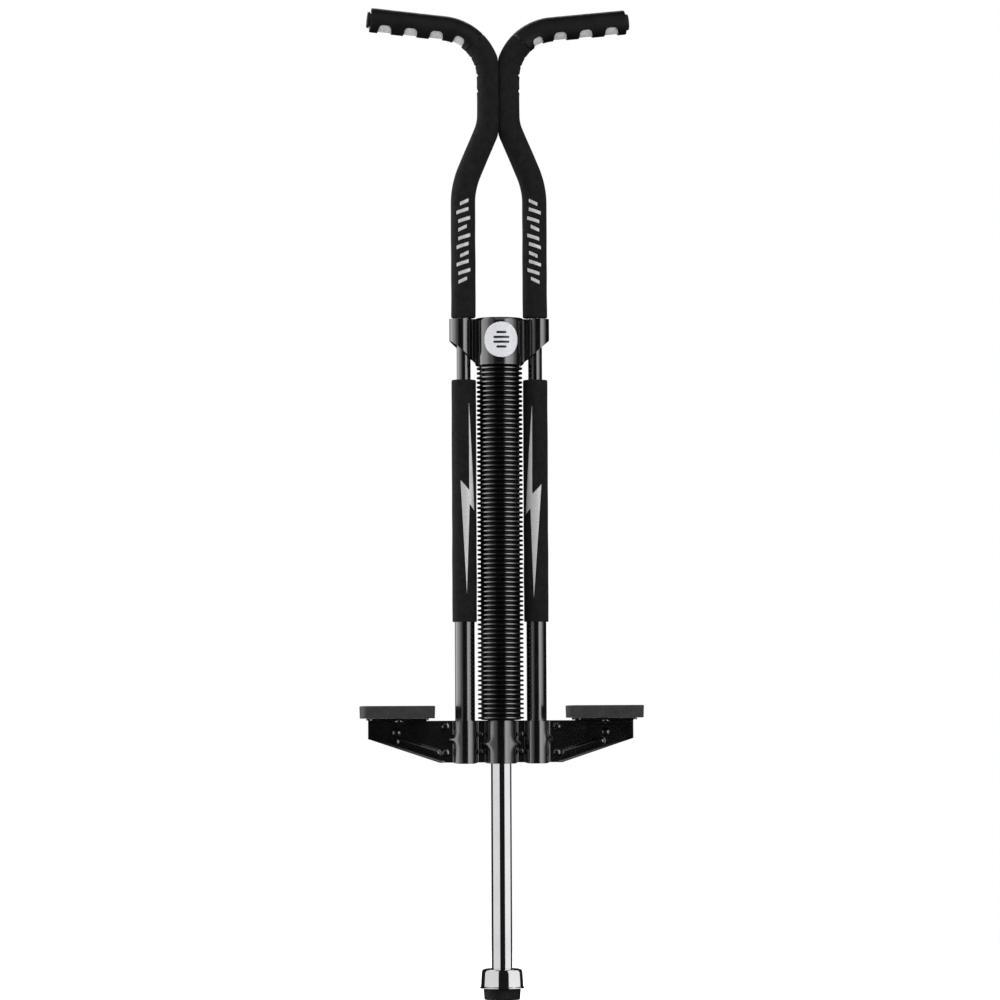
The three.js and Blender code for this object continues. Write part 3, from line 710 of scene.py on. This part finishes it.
def handlebars():
    def tube():
        outline = hollow(HANDLE_R - 1.5, HANDLE_R, 0, BAR_LENGTH, (0.3, 0.4, 0.4, 0.3))
        return turned("handle_tube", dense(outline, 5), "black_paint", bar, 48)

    def sleeve():
        bore = HANDLE_R + GAP
        uneven = lumps(60, 0.16, 11)
        end = GRIP_START - GAP
        outline = dense(hollow(bore, FOAM_R, FOAM_START, end, (0.3, 1.6, 0.7, 0.3)), 2.0)

        def warp(points, s, angle):
            out, radius, centre = about(bar, points, s)
            skin = smooth((radius - bore - 0.5) / 2)
            # the foam buckles on the hollow side of the bend, where across points at angle 0
            inner = smooth((np.cos(angle) - 0.15) / 0.7)
            change = uneven(s, angle)
            for offset, depth, width in CREASES:
                away = s - (GRIP_BEND_START + offset)
                change = change - inner * depth * np.exp(-(away / (width / 2)) ** 2)
                change = change + inner * 0.35 * depth * np.exp(-(away / width) ** 2)
            moved = points + out * (change * skin)[..., None]
            # pressed flat against the other bar, and a little wider there
            squeeze = smooth((FOAM_R - moved[..., 0]) / FOAM_R) * (centre[..., 0] < FOAM_R)
            moved[..., 1] *= 1 + 0.03 * squeeze
            limit, soft = GAP / 2, 0.8
            past = moved[..., 0] - limit - soft
            moved[..., 0] = np.where(past < 0, limit + soft * np.exp(past / soft), moved[..., 0])
            return moved
        return turned("foam_upper", outline, "foam_sleeve", bar, 80, warp)

    both_sides(tube, "handlebar", "handle_tube")
    both_sides(sleeve, "upper_sleeve", "foam_upper", padded=0.95)


# ---------------------------------------------------------------- grips

WINDOW_X, WINDOW_PITCH, WINDOW_COUNT = 38.5, 27.9, 4
WINDOW_HALF, WINDOW_TAPER, WINDOW_TOP = 7.9, 1.7, 5.8
CORE_R = cad("grip_core_right").r


def window_places():
    """Distances along the bar of the windows' middles."""
    bend_end_x = NECK_X + GRIP_BEND_R * (1 - math.cos(GRIP_TURN))
    places = []
    for i in range(WINDOW_COUNT):
        x = WINDOW_X + i * WINDOW_PITCH
        if x < bend_end_x:
            places.append(GRIP_BEND_START + GRIP_BEND_R * math.acos(1 - (x - NECK_X) / GRIP_BEND_R))
        else:
            places.append(BAR_LENGTH - (GRIP_END_X - x) / math.sin(GRIP_TURN))
    return places


def bar_point(distance, angle, radius):
    """Points on a sleeve round the bar; angle 0 is its underside."""
    shape = distance.shape
    origin, across, beside = bar(distance.ravel())
    turn = angle.ravel()[:, None]
    points = origin + np.asarray(radius).ravel()[:, None] * (across * np.cos(turn) + beside * np.sin(turn))
    return points.reshape(*shape, 3)


def grips():
    end = BAR_LENGTH - 0.5
    half_angle = math.acos(WINDOW_TOP / FOAM_R)
    windows = window_places()

    def skin():
        steps = int((end - GRIP_START) / 0.7)
        us = np.linspace(GRIP_START, end, steps)
        vs = (np.arange(120) / 120 - 0.5) * 2 * math.pi * FOAM_R

        def inside(u, v):
            half_v = half_angle * FOAM_R
            half_u = WINDOW_HALF - WINDOW_TAPER * np.abs(v) / half_v
            return -np.min([box_distance(u - middle, v, half_u, half_v, 4.0) for middle in windows], axis=0)

        def to_space(u, v):
            ends = smooth((u - GRIP_START) / 1.2) * smooth((end - u) / 1.2)
            radius = FOAM_R - 0.5 * (1 - ends)
            return bar_point(u, v / FOAM_R, radius)
        made = patch("grip", us, vs, inside, to_space, "grip_rubber", wrap=True)
        middle = along((GRIP_START + end) / 2)
        outwards(made, (middle[0], 0, middle[1]))
        return thicken(made, FOAM_R - CORE_R - GAP, -1, 0.28)

    def core():
        uneven = lumps(6, 0.06, 5)
        bore = HANDLE_R + GAP
        outline = dense(hollow(bore, CORE_R, GRIP_START, BAR_LENGTH - 1, (0.3, 0.5, 0.5, 0.3)), 1.5)

        def warp(points, s, angle):
            out, radius, _ = about(bar, points, s)
            return points + out * (uneven(s, angle) * (radius > bore + 1))[..., None]
        return turned("grip_core", outline, "grip_core", bar, 72, warp)

    def plug():
        stem, rim = HANDLE_R - 1.5 - GAP, 8.8
        outline = rounded([(0, -14), (stem, -14, 0.8), (stem, GAP, 0.2), (rim, GAP, 0.5), (rim, 3.2, 1.6),
                           (4.2, 3.4, 0.6), (3.6, 2.8, 0.4), (0, 2.8)])
        return turned("end_plug", outline, "black_plastic", at_end, 48)

    both_sides(skin, "grip_skin", "grip")
    both_sides(core, "grip_core_detail", "grip_core")
    both_sides(plug, "bar_end_plug", "end_plug")


# ---------------------------------------------------------------- pressed shells

def pressed_line(bulges, flat, fillet, x_end, flat_step=1.2, arc_step=7.0, start_in_bulge=False):
    """The sheet's middle line seen from above, in front of the middle plane: flats at depth flat, with round
    bulges (middle x, radius) joined to them by fillets. Returns points (x, depth)."""
    line = []

    def arc(cx, depth, radius, a, b):
        steps = max(2, int(abs(b - a) / arc_step))
        for i in range(steps + 1):
            t = math.radians(a + (b - a) * i / steps)
            line.append((cx + radius * math.cos(t), depth + radius * math.sin(t)))

    def run(a, b):
        steps = max(1, int(abs(b - a) / flat_step))
        line.extend((a + (b - a) * i / steps, flat) for i in range(steps + 1))

    cursor = -x_end
    for i, (cx, radius) in enumerate(bulges):
        reach = math.sqrt((radius + fillet) ** 2 - (flat + fillet) ** 2)
        lean = math.degrees(math.atan2(flat + fillet, reach))
        first, last = start_in_bulge and i == 0, start_in_bulge and i == len(bulges) - 1
        if not first:
            run(cursor, cx - reach)
            arc(cx - reach, flat + fillet, fillet, -90, -lean)
        arc(cx, 0, radius, 180 if first else 180 - lean, 0 if last else lean)
        if not last:
            arc(cx + reach, flat + fillet, fillet, 180 + lean, 270)
        cursor = cx + reach
    if not start_in_bulge:
        run(cursor, x_end)
    points = [line[0]]
    for point in line[1:]:
        if math.dist(point, points[-1]) > 0.05:
            points.append(point)
    return np.array(points)


def pressing(name, columns, bevel, bevel_steps=2):
    """A pressed steel sheet from columns of points on its middle layer."""
    verts = [point for column in columns for point in column]
    faces, a = [], 0
    for left, right in zip(columns, columns[1:]):
        b = a + len(left)
        faces += [[a + k, b + k, b + k + 1, a + k + 1] for k in range(min(len(left), len(right)) - 1)]
        a = b
    made = make(name, verts, faces, "black_paint")
    outwards(made, (None, 30, None))
    return thicken(made, SHEET, 0, bevel, bevel_steps)


def foot_shell(name):
    """The front pressing of the foot bracket: three bulges, two wings with a bead and a flange each."""
    shell = cad("foot_shell_front")
    flat = SHEET / 2 + GAP / 2
    centre, side = 16.2, 12.1  # radii of the bulges' middle layer
    wing_x, flange_x, knee_x = shell.x1, 80.0, 66.0
    low, top, wing_low = shell.z0 + 1.3, shell.z1 - SHEET - 0.5, 279.7
    flange_top, reach = shell.z1 - SHEET / 2, -shell.y0
    rows, bend_rows, flange_rows = 68, 6, 26
    bend, corner = 2.2, 2.5  # radii of the bend into the flange and of the flange's corners
    bead_in, bead_out = np.array([69.5, 264.4]), np.array([108.0, 276.8])
    bead_run = bead_out - bead_in
    bulges = ((-TUBE_X, side), (0.0, centre), (TUBE_X, side))
    # the darts pressed beside the bulges: (middle, inner end, point, height, half-width, depth, fall)
    darts = ((0.0, 9.0, 20.5, 274.0, 6.4, 12.6, 0.45), (TUBE_X, 6.6, 16.8, 278.9, 5.6, 9.6, 0.9))

    def bottom(ax):
        return low + max(0.0, ax - knee_x) * (wing_low - low) / (wing_x - knee_x)

    def press(ax, z):
        """How far the sheet stands out of its plane for the wing's bead and its rolled lower edge."""
        from_start = np.array([ax, z]) - bead_in
        t = np.clip(from_start @ bead_run / (bead_run @ bead_run), 0, 1)
        off = math.hypot(*(from_start - t * bead_run))
        out = 2.1 * float(smooth((4.4 - off) / 3.2))
        if ax > knee_x - 4:
            out += 0.7 * float(smooth((bottom(ax) + 2.4 - z) / 2.4))
        return out

    def dart(ax, depth, z):
        added = 0.0
        for cx, start, point, middle, half, deep, fall in darts:
            t = (ax - cx - start) / (point - start)
            if 0 < t < 1:
                width = half * (1 - t) ** 0.9 + 0.3
                shape = float(smooth(1.05 - abs(z - middle) / (1.9 * width)))
                added = max(added, max(0.0, flat + deep * (1 - t) ** fall - depth) * shape)
        return added

    columns = []
    for x, depth in pressed_line(bulges, flat, 2.6, wing_x - 0.2, flat_step=0.8):
        ax = abs(x)
        inside_bulge = min(1.0, max(0.0, (depth - flat) / 8))
        base = bottom(ax) - 1.3 * inside_bulge
        column = []
        for z in (base + (top - base) * k / rows for k in range(rows + 1)):
            lift = press(ax, z) * (1 - inside_bulge) + dart(ax, depth, z)
            column.append((x, -(depth + lift), z))
        if ax >= flange_x:
            half = (wing_x - flange_x) / 2
            middle = math.copysign((wing_x + flange_x) / 2, x)
            column[rows] = (x, -flat, flange_top - bend)
            for k in range(1, bend_rows + 1):
                t = math.radians(90 * k / bend_rows)
                z = flange_top - bend + bend * math.sin(t)
                column.append((x, -(flat + bend - bend * math.cos(t)), z))
            for k in range(1, flange_rows + 1):
                out = flat + bend + (reach - flat - bend) * k / flange_rows
                into = max(0.0, out - (reach - corner))
                inset = corner - math.sqrt(max(corner * corner - into * into, 0))
                column.append((middle + (x - middle) * (half - inset) / half, -out, flange_top))
        columns.append(column)
    return pressing(name, columns, 0.4)


def head_shell(name):
    """The front pressing of the head bracket: a barrel between two lobes."""
    shell = cad("head_shell_front")
    flat = SHEET / 2 + GAP / 2
    barrel, lobe_x, lobe = 25.0, 41.8, 11.2
    corner_x, corner_z, foot_x = lobe_x + lobe + 1, 709.5, 23.0
    rows = 30
    bulges = ((-lobe_x, lobe), (0.0, barrel), (lobe_x, lobe))
    columns = []
    for x, depth in pressed_line(bulges, flat, 1.8, lobe_x, arc_step=4.5, start_in_bulge=True):
        ax = abs(x)
        base = shell.z0 + max(0.0, ax - foot_x) * (corner_z - shell.z0) / (corner_x - foot_x)
        column = []
        for z in (base + (shell.z1 - base) * (k / rows) for k in range(rows + 1)):
            # the rim is rolled in a little at the top, and flares at the bottom of the barrel
            roll = 0.9 * float(smooth((z - shell.z1 + 2.2) / 2.2))
            flare = 0.5 * float(smooth((shell.z0 + 2.5 - z) / 2.5))
            if ax < barrel + 0.5 and depth > flat + 0.8:
                shrink = (barrel - roll + flare) / barrel
                column.append((x * shrink, -max(depth * shrink, flat), z))
            else:
                column.append((x, -max(depth, GAP / 2), z))
        columns.append(column)
    return pressing(name, columns, 0.45, 3)


def shells():
    """Each bracket is a front pressing and the same pressing turned round behind it."""
    for front, node_name in ((foot_shell("foot_pressing_front"), "foot_shell"),
                             (head_shell("head_pressing_front"), "head_shell")):
        rear = twin(front, front.name.replace("front", "rear"), Matrix.Rotation(math.pi, 4, "Z"))
        fit(front, f"{node_name}_front")
        fit(rear, f"{node_name}_rear")


def rivets():
    """Domed at both ends, with a thinner shank through both shells."""
    shank = 2.2
    for name in sorted(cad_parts):
        if not name.startswith("rivet_"):
            continue
        box = cad(name)
        head = (box.z1 - box.z0) / 2
        face = SHEET + GAP / 2
        tall = box.y1 - face
        dome = ((1, 0, 0.2), (0.96, 0.26, 0.8), (0.78, 0.66, 1.0), (0.42, 0.93, 1.2), (0, 1))
        front = [(head * a, face + tall * b, *radius) for a, b, *radius in dome]
        back = [(a, -b, *radius) for a, b, *radius in reversed(front)]
        outline = rounded(back + [(shank, -face), (shank, face)] + front)
        made = turned(name.replace("rivet", "domed_rivet"), outline, "black_paint", level(box.x, box.z), 40)
        fit(made, name)


# ---------------------------------------------------------------- head and foot fittings

def head_fittings():
    cap = cad("head_cap")
    rim, top = cap.r, cap.z1
    outline = rounded([(0, cap.z0), (rim - 0.2, cap.z0, 0.5), (rim - 0.1, top - 1.5, 0.6),
                       (rim - 1.4, top - 0.5, 0.8), (rim - 9, top - 0.15, 5), (6, top, 2), (0, top)], 5)
    fit(turned("head_cap_detail", outline, "black_plastic", sides=96), "head_cap")

    disc = cad("emblem_disc")
    barrel = 26.0 + GAP
    radius = (disc.z1 - disc.z0) / 2

    def on_barrel(lift):
        def to_space(u, v):
            turn = u / barrel
            return np.stack([(barrel + lift) * np.sin(turn), -(barrel + lift) * np.cos(turn), disc.z + v], -1)
        return to_space

    span = np.arange(-radius - 1, radius + 1.01, 0.5)
    made = patch("badge_disc", span, span, lambda u, v: np.hypot(u, v) - radius, on_barrel(0.55),
                 "badge_silver")
    fit(thicken(outwards(made, (0, 0, disc.z)), 0.5, -1, 0.15), "emblem_disc")

    # a plain mark: four level bars, like the turns of a spring
    fine = np.arange(-radius, radius + 0.01, 0.3)
    for i, half in enumerate((5.4, 8.6, 8.6, 5.4)):
        height = 7.8 - 5.2 * i

        def bar_shape(u, v):
            return box_distance(u, v - height, half, 1.25, 1.2)
        made = patch(f"badge_bar_{i}", fine, fine, bar_shape, on_barrel(0.62), "badge_ink")
        fit(thicken(outwards(made, (0, 0, disc.z)), 0.05))


def spring_cover():
    """The corrugated tube: blunt ribs with flat grooves between them."""
    cover = cad("spring_cover")
    root, crest, bore = 21.1, cover.r + 0.4, 19.4
    ribs, pitch = 76, 5.02
    first = cover.z0 + 2.2
    rib = ((-2.51, 0.0), (-1.5, 0.03), (-1.22, 0.14), (-1.12, 0.4), (-1.1, 0.72), (-0.98, 0.9), (-0.6, 0.98),
           (0.0, 1.0), (0.6, 0.98), (0.98, 0.9), (1.1, 0.72), (1.12, 0.4), (1.22, 0.14), (1.5, 0.03))
    outline = [(root + (crest - root) * share, first + i * pitch + dz)
               for i in range(ribs) for dz, share in rib]
    # the first rib has no groove below it
    outline = ([(bore, cover.z0), (root, cover.z0)] + outline[1:]
               + [(root, first + (ribs - 0.5) * pitch), (root, cover.z1), (bore, cover.z1)])
    fit(turned("ribbed_cover", outline, "cover_plastic", sides=96, sharp=60), "spring_cover")


def spring_wire():
    """The compression spring inside the cover, with closed ground ends."""
    box = cad("spring")
    mean, wire, turns, sides = 14.9, 2.5, 25, 12
    steps = turns * 40
    t = np.linspace(0, 1, steps + 1)
    closed = 0.8 / turns  # share of the wire in each closed end coil
    rise = np.interp(t, [0, closed, 1 - closed, 1], [0, 0.25 * closed, 1 - 0.25 * closed, 1])
    height = box.z0 + wire + rise * (box.z1 - box.z0 - 2 * wire)
    angle = 2 * math.pi * turns * t
    line = np.stack([mean * np.cos(angle), mean * np.sin(angle), height], -1)
    out = np.stack([np.cos(angle), np.sin(angle), np.zeros_like(angle)], -1)
    ring = np.linspace(0, 2 * math.pi, sides, endpoint=False)[None, :, None]
    points = line[:, None] + wire * (out[:, None] * np.cos(ring) + np.array([0, 0, 1.0]) * np.sin(ring))
    made = make("coil_spring", points.reshape(-1, 3), ring_faces(steps + 1, sides), "zinc_steel", 60)
    fit(made, "spring")
    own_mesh(made)


def bush():
    box = cad("guide_bush")
    bore, body = 11.0 + GAP, 17.2 - SHEET - GAP
    outline = rounded([
        (bore, box.z0, 0.5), (body - 0.2, box.z0, 0.6), (body - 0.2, box.z1 - 2.7, 0.2),
        (box.r, box.z1 - 2.7, 0.3), (box.r, box.z1, 0.4), (bore, box.z1, 0.3),
    ])
    fit(turned("leg_bush", outline, "black_plastic"), "guide_bush")


def foot_pads():
    pad = cad("foot_pad_right")
    half_x, half_y = (pad.x1 - pad.x0) / 2, pad.y1
    tread_floor = pad.z1 - 1.3

    def slab():
        """The pad: rounded corners, sides drawn in slightly towards the bottom, a rim round the tread."""
        steps = 7

        def ring_points(inset, z):
            r = 6.5 - inset * 0.6
            x, y = half_x - inset - r, half_y - inset - r
            for cx, cy, start in ((x, y, 0), (-x, y, 90), (-x, -y, 180), (x, -y, 270)):
                for k in range(steps + 1):
                    a = math.radians(start + 90 * k / steps)
                    yield pad.x + cx + r * math.cos(a), cy + r * math.sin(a), z

        low, top = pad.z0, pad.z1
        rings = ((3.2, low - 0.25), (1.1, low - 0.25), (0.65, low), (0.45, low + 0.6), (0.12, top - 1.6),
                 (0.2, top - 0.7), (0.6, top - 0.18), (1.3, top), (4.2, top), (4.9, top - 0.3),
                 (5.2, tread_floor))
        verts = [point for ring in rings for point in ring_points(*ring)]
        return make("pad_slab", verts, ring_faces(len(rings), len(verts) // len(rings)), "pad_rubber", 38)

    def tread():
        """Rows of moulded bars inside the rim, their ends rounded in plan and their tops crowned."""
        rows, inner, span = 9, half_y - 7.5, 2 * (half_x - 7.0)
        pitch = 2 * inner / rows
        verts, faces = [], []
        for row in range(rows):
            pieces = 2 if row % 2 else 3
            length = span / pieces
            for n in range(pieces):
                middle = pad.x - span / 2 + length * (n + 0.5), -inner + pitch * (row + 0.5)
                half = length / 2 - 1.4, pitch / 2 - 1.5
                add_bar(verts, faces, middle, half, tread_floor - 0.3, pad.z1 - 0.15)
        return make("pad_tread", verts, faces, "pad_rubber", 38)

    both_sides(slab, "pad_slab", "foot_pad")
    both_sides(tread, "pad_tread")


def add_bar(verts, faces, middle, half, low, high, steps=10):
    """A raised bar with round ends and eased top edges."""
    levels = ((0.0, low), (0.15, high - 0.5), (0.4, high - 0.12), (0.85, high))
    count = 2 * (steps + 1)
    faces += ring_faces(len(levels), count, len(verts))
    for inset, z in levels:
        r = half[1] - inset
        for side in (1, -1):
            for k in range(steps + 1):
                a = math.radians(180 * k / steps - 90 * side)
                verts.append((middle[0] + side * (half[0] - half[1]) + r * math.cos(a),
                              middle[1] + r * math.sin(a), z))


def pad_screws():
    for name in sorted(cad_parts):
        if not name.startswith("pad_screw_"):
            continue
        box = cad(name)
        seat, head = box.z0 + 3.0, 4.6
        outline = rounded([
            (0, box.z0 + 1.4), (1.5, box.z0 + 1.4, 0.1), (1.9, box.z0, 0.2), (3.4, box.z0 + 0.1, 0.9),
            (head, seat - 1.3, 0.6), (head, seat, 0.2), (2.5, seat), (2.5, box.z1 - 0.8, 0.2),
            (1.8, box.z1, 0.2), (0, box.z1),
        ])
        fit(turned(name.replace("screw", "bolt"), outline, "black_paint", upright(box.x, box.y), 40), name)


# ---------------------------------------------------------------- printed marks on the foam

def on_sleeve(side):
    """(u, v) on the front of a straight sleeve: u runs round it towards the cover, v is the height."""
    front = math.radians(-5.0)  # the prints face a little to the left of square on
    r = FOAM_R + 0.32

    def to_space(u, v):
        turn = front - side * u / FOAM_R
        return np.stack([side * TUBE_X + r * np.sin(turn), -r * np.cos(turn), v], -1)
    return to_space


def sleeve_print(name, side, us, vs, corners):
    """A thin layer of silver print inside a polygon."""
    made = patch(name, us, vs, polygon_distance(corners), on_sleeve(side), "silver_print")
    fit(thicken(outwards(made, (side * TUBE_X, 0, None)), 0.12))


def prints():
    """A flash on each lower sleeve, and slanted bars in place of lettering on each upper one."""
    stripes, first, pitch = 10, 773.0, 9.4
    lean, half_tall = 2.2, 1.9
    # the two flashes differ a little: how far down they sit, and how far round their tips and corners are
    for side, label, drop, tip, corner in ((-1, "left", 0.0, 5.4, -3.7), (1, "right", 4.5, 3.6, -6.2)):
        flash = [(tip, 646.0), (12.4, 524.5), (6.0, 531.5), (2.6, 434.5), (corner, 557.5), (tip + 0.3, 546.5)]
        sleeve_print(f"flash_print_{label}", side, np.arange(-8, 15, 0.45), np.arange(429, 650, 0.6) - drop,
                     [(u, v - drop) for u, v in flash])
        for i in range(stripes):
            z = first + pitch * i
            half = 6.6 if i % 3 else 4.6
            shift = 1.5 if i % 2 else -0.5
            corners = [(shift - half, z - half_tall - lean), (shift + half, z - half_tall + lean),
                       (shift + half, z + half_tall + lean), (shift - half, z + half_tall - lean)]
            sleeve_print(f"stripe_print_{label}_{i}", side, np.arange(-11, 11, 0.5),
                         np.arange(z - 6, z + 6, 0.5), corners)


# ---------------------------------------------------------------- CAD nodes that stay as they are

def carried_over():
    """Inner pieces whose CAD shape is already complete get the better materials."""
    for look, names in (
        ("black_plastic", ("head_insert_left", "head_insert_right")), ("tip_rubber", ("rest_buffer",)),
        ("zinc_steel", ("spring_seat_upper", "leg_collar", "collar_pin")),
    ):
        for name in names:
            for material_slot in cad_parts[name].material_slots:
                material_slot.material = LOOKS[look]


# ---------------------------------------------------------------- stage, light and camera

VIEW_TURN = math.radians(-5.0)  # the camera stands a little to the left
VIEW_DISTANCE = 4.80
VIEW_HEIGHT = 0.30
VIEW_RISE = math.radians(2.82)  # it looks up slightly, at the middle of the object
VIEW_ROLL = math.radians(0.26)
PICTURE_WIDTH = 1.077  # metres at the object's distance
SENSOR_WIDTH = 36.0


def camera():
    data = bpy.data.cameras.new("camera")
    data.sensor_width = SENSOR_WIDTH
    data.lens = SENSOR_WIDTH * VIEW_DISTANCE / PICTURE_WIDTH
    data.clip_end = 100
    made = bpy.data.objects.new("camera", data)
    bpy.context.scene.collection.objects.link(made)
    spot = Vector((VIEW_DISTANCE * math.sin(VIEW_TURN), -VIEW_DISTANCE * math.cos(VIEW_TURN), VIEW_HEIGHT))
    aim = (0, 0, VIEW_HEIGHT + VIEW_DISTANCE * math.tan(VIEW_RISE))
    made.matrix_world = facing(spot, aim) @ Matrix.Rotation(-VIEW_ROLL, 4, "Z")
    bpy.context.scene.camera = made


def facing(spot, aim):
    """The place of a camera or a light at a spot, facing a point."""
    turn = (Vector(aim) - Vector(spot)).to_track_quat("-Z", "Y").to_matrix().to_4x4()
    return Matrix.Translation(spot) @ turn


def softbox(name, spot, aim, width, tall, power, falls=()):
    """An area light at a spot, facing a point. Its strength can vary across its width: falls is (share of the
    width, strength) from its left end to its right end as the light itself faces."""
    data = bpy.data.lights.new(name, "AREA")
    data.shape = "RECTANGLE"
    data.size, data.size_y = width, tall
    data.energy = power
    if falls:
        data.use_nodes = True
        place_on_it = node(data, "ShaderNodeNewGeometry").outputs["Parametric"]
        across = node(data, "ShaderNodeSeparateXYZ", {0: place_on_it}).outputs["X"]
        ramp = node(data, "ShaderNodeValToRGB", {"Fac": across})
        data.node_tree.links.new(ramp.outputs["Color"], data.node_tree.nodes["Emission"].inputs["Color"])
        ramp.color_ramp.interpolation = "EASE"
        while len(ramp.color_ramp.elements) < len(falls):
            ramp.color_ramp.elements.new(0.5)
        for element, (share, strength) in zip(ramp.color_ramp.elements, falls):
            element.position = share
            element.color = (*grey(strength), 1)
    made = bpy.data.objects.new(name, data)
    bpy.context.scene.collection.objects.link(made)
    made.matrix_world = facing(spot, aim)
    made.visible_camera = False
    return made


def lit_only(bank, pieces, state="INCLUDE"):
    """Lets a light fall on these pieces alone, or on everything but them."""
    group = bpy.data.collections.new(bank.name + "_pieces")
    for piece in pieces:
        group.objects.link(piece)
    for entry in group.collection_objects:
        entry.light_linking.link_state = state
    bank.light_linking.receiver_collection = group


def lights():
    """Long banks of light on both sides leave the front dark. The plated pieces have even banks to
    themselves, and the rest have graded ones. Nothing mirrors the wide one overhead."""
    pieces = [piece for piece in bpy.context.scene.objects if piece.type == "MESH"]
    plated = [piece for piece in pieces if piece.active_material == LOOKS["chrome"]]
    ribbed = [piece for piece in pieces if piece.active_material == LOOKS["cover_plastic"]]
    high, middle, tall = (0.1, -2.6, 3.4), 0.9, 2.6
    for state, name, x, y, width, power, *falls in (
        ("INCLUDE", "plate_left", -1.25, -1.05, 3.3, 23), ("INCLUDE", "plate_right", 1.25, -0.75, 2.5, 21),
        ("EXCLUDE", "bank_left", -1.25, -0.4, 4.6, 95,
         (0, 0.25), (0.28, 1), (0.49, 0.62), (0.64, 0.2), (1, 0)),
        ("EXCLUDE", "bank_right", 1.25, -1.65, 3.3, 66,
         (0, 0.6), (0.46, 1), (0.75, 0.7), (0.9, 0.2), (1, 0)),
    ):
        lit_only(softbox(name, (x, y, middle), (0, y, middle), width, tall, power, falls), plated, state)
    softbox("bank_over", high, (0, 0, 0.55), 3.6, 1.4, 62).visible_glossy = False
    lit_only(softbox("sheen_over", high, (0, 0, 0.55), 3.6, 3.0, 34), plated + ribbed, "EXCLUDE")
    softbox("rim_light", (0.0, 2.6, 3.0), (0, 0, middle), 2.4, 1.0, 40)


def stage():
    """A round sheet of paper under the object, in a room that the eye sees white and gloss sees dark."""
    ring_width, rings = 250.0, 24
    outline = [(ring_width * i, 0) for i in range(rings + 1)]
    turned("floor", outline, "floor_paper", sides=64, closed=False)

    world = bpy.data.worlds.new("studio")
    bpy.context.scene.world = world
    world.use_nodes = True
    world.node_tree.nodes.clear()
    seen = node(world, "ShaderNodeLightPath").outputs["Is Camera Ray"]
    room = node(world, "ShaderNodeBackground", Color=(0.95, 0.97, 1.0, 1), Strength=0.012).outputs[0]
    paper = node(world, "ShaderNodeBackground", Color=(1, 1, 1, 1), Strength=1.0).outputs[0]
    mix = node(world, "ShaderNodeMixShader", {0: seen, 1: room, 2: paper}).outputs[0]
    node(world, "ShaderNodeOutputWorld", {"Surface": mix})
    bpy.context.scene.view_settings.view_transform = "Standard"


# ---------------------------------------------------------------- everything

for build in (camera, stage, leg_pieces, side_tubes, handlebars, grips, shells, rivets, head_fittings,
              spring_cover, spring_wire, bush, foot_pads, pad_screws, prints, carried_over, lights):
    build()
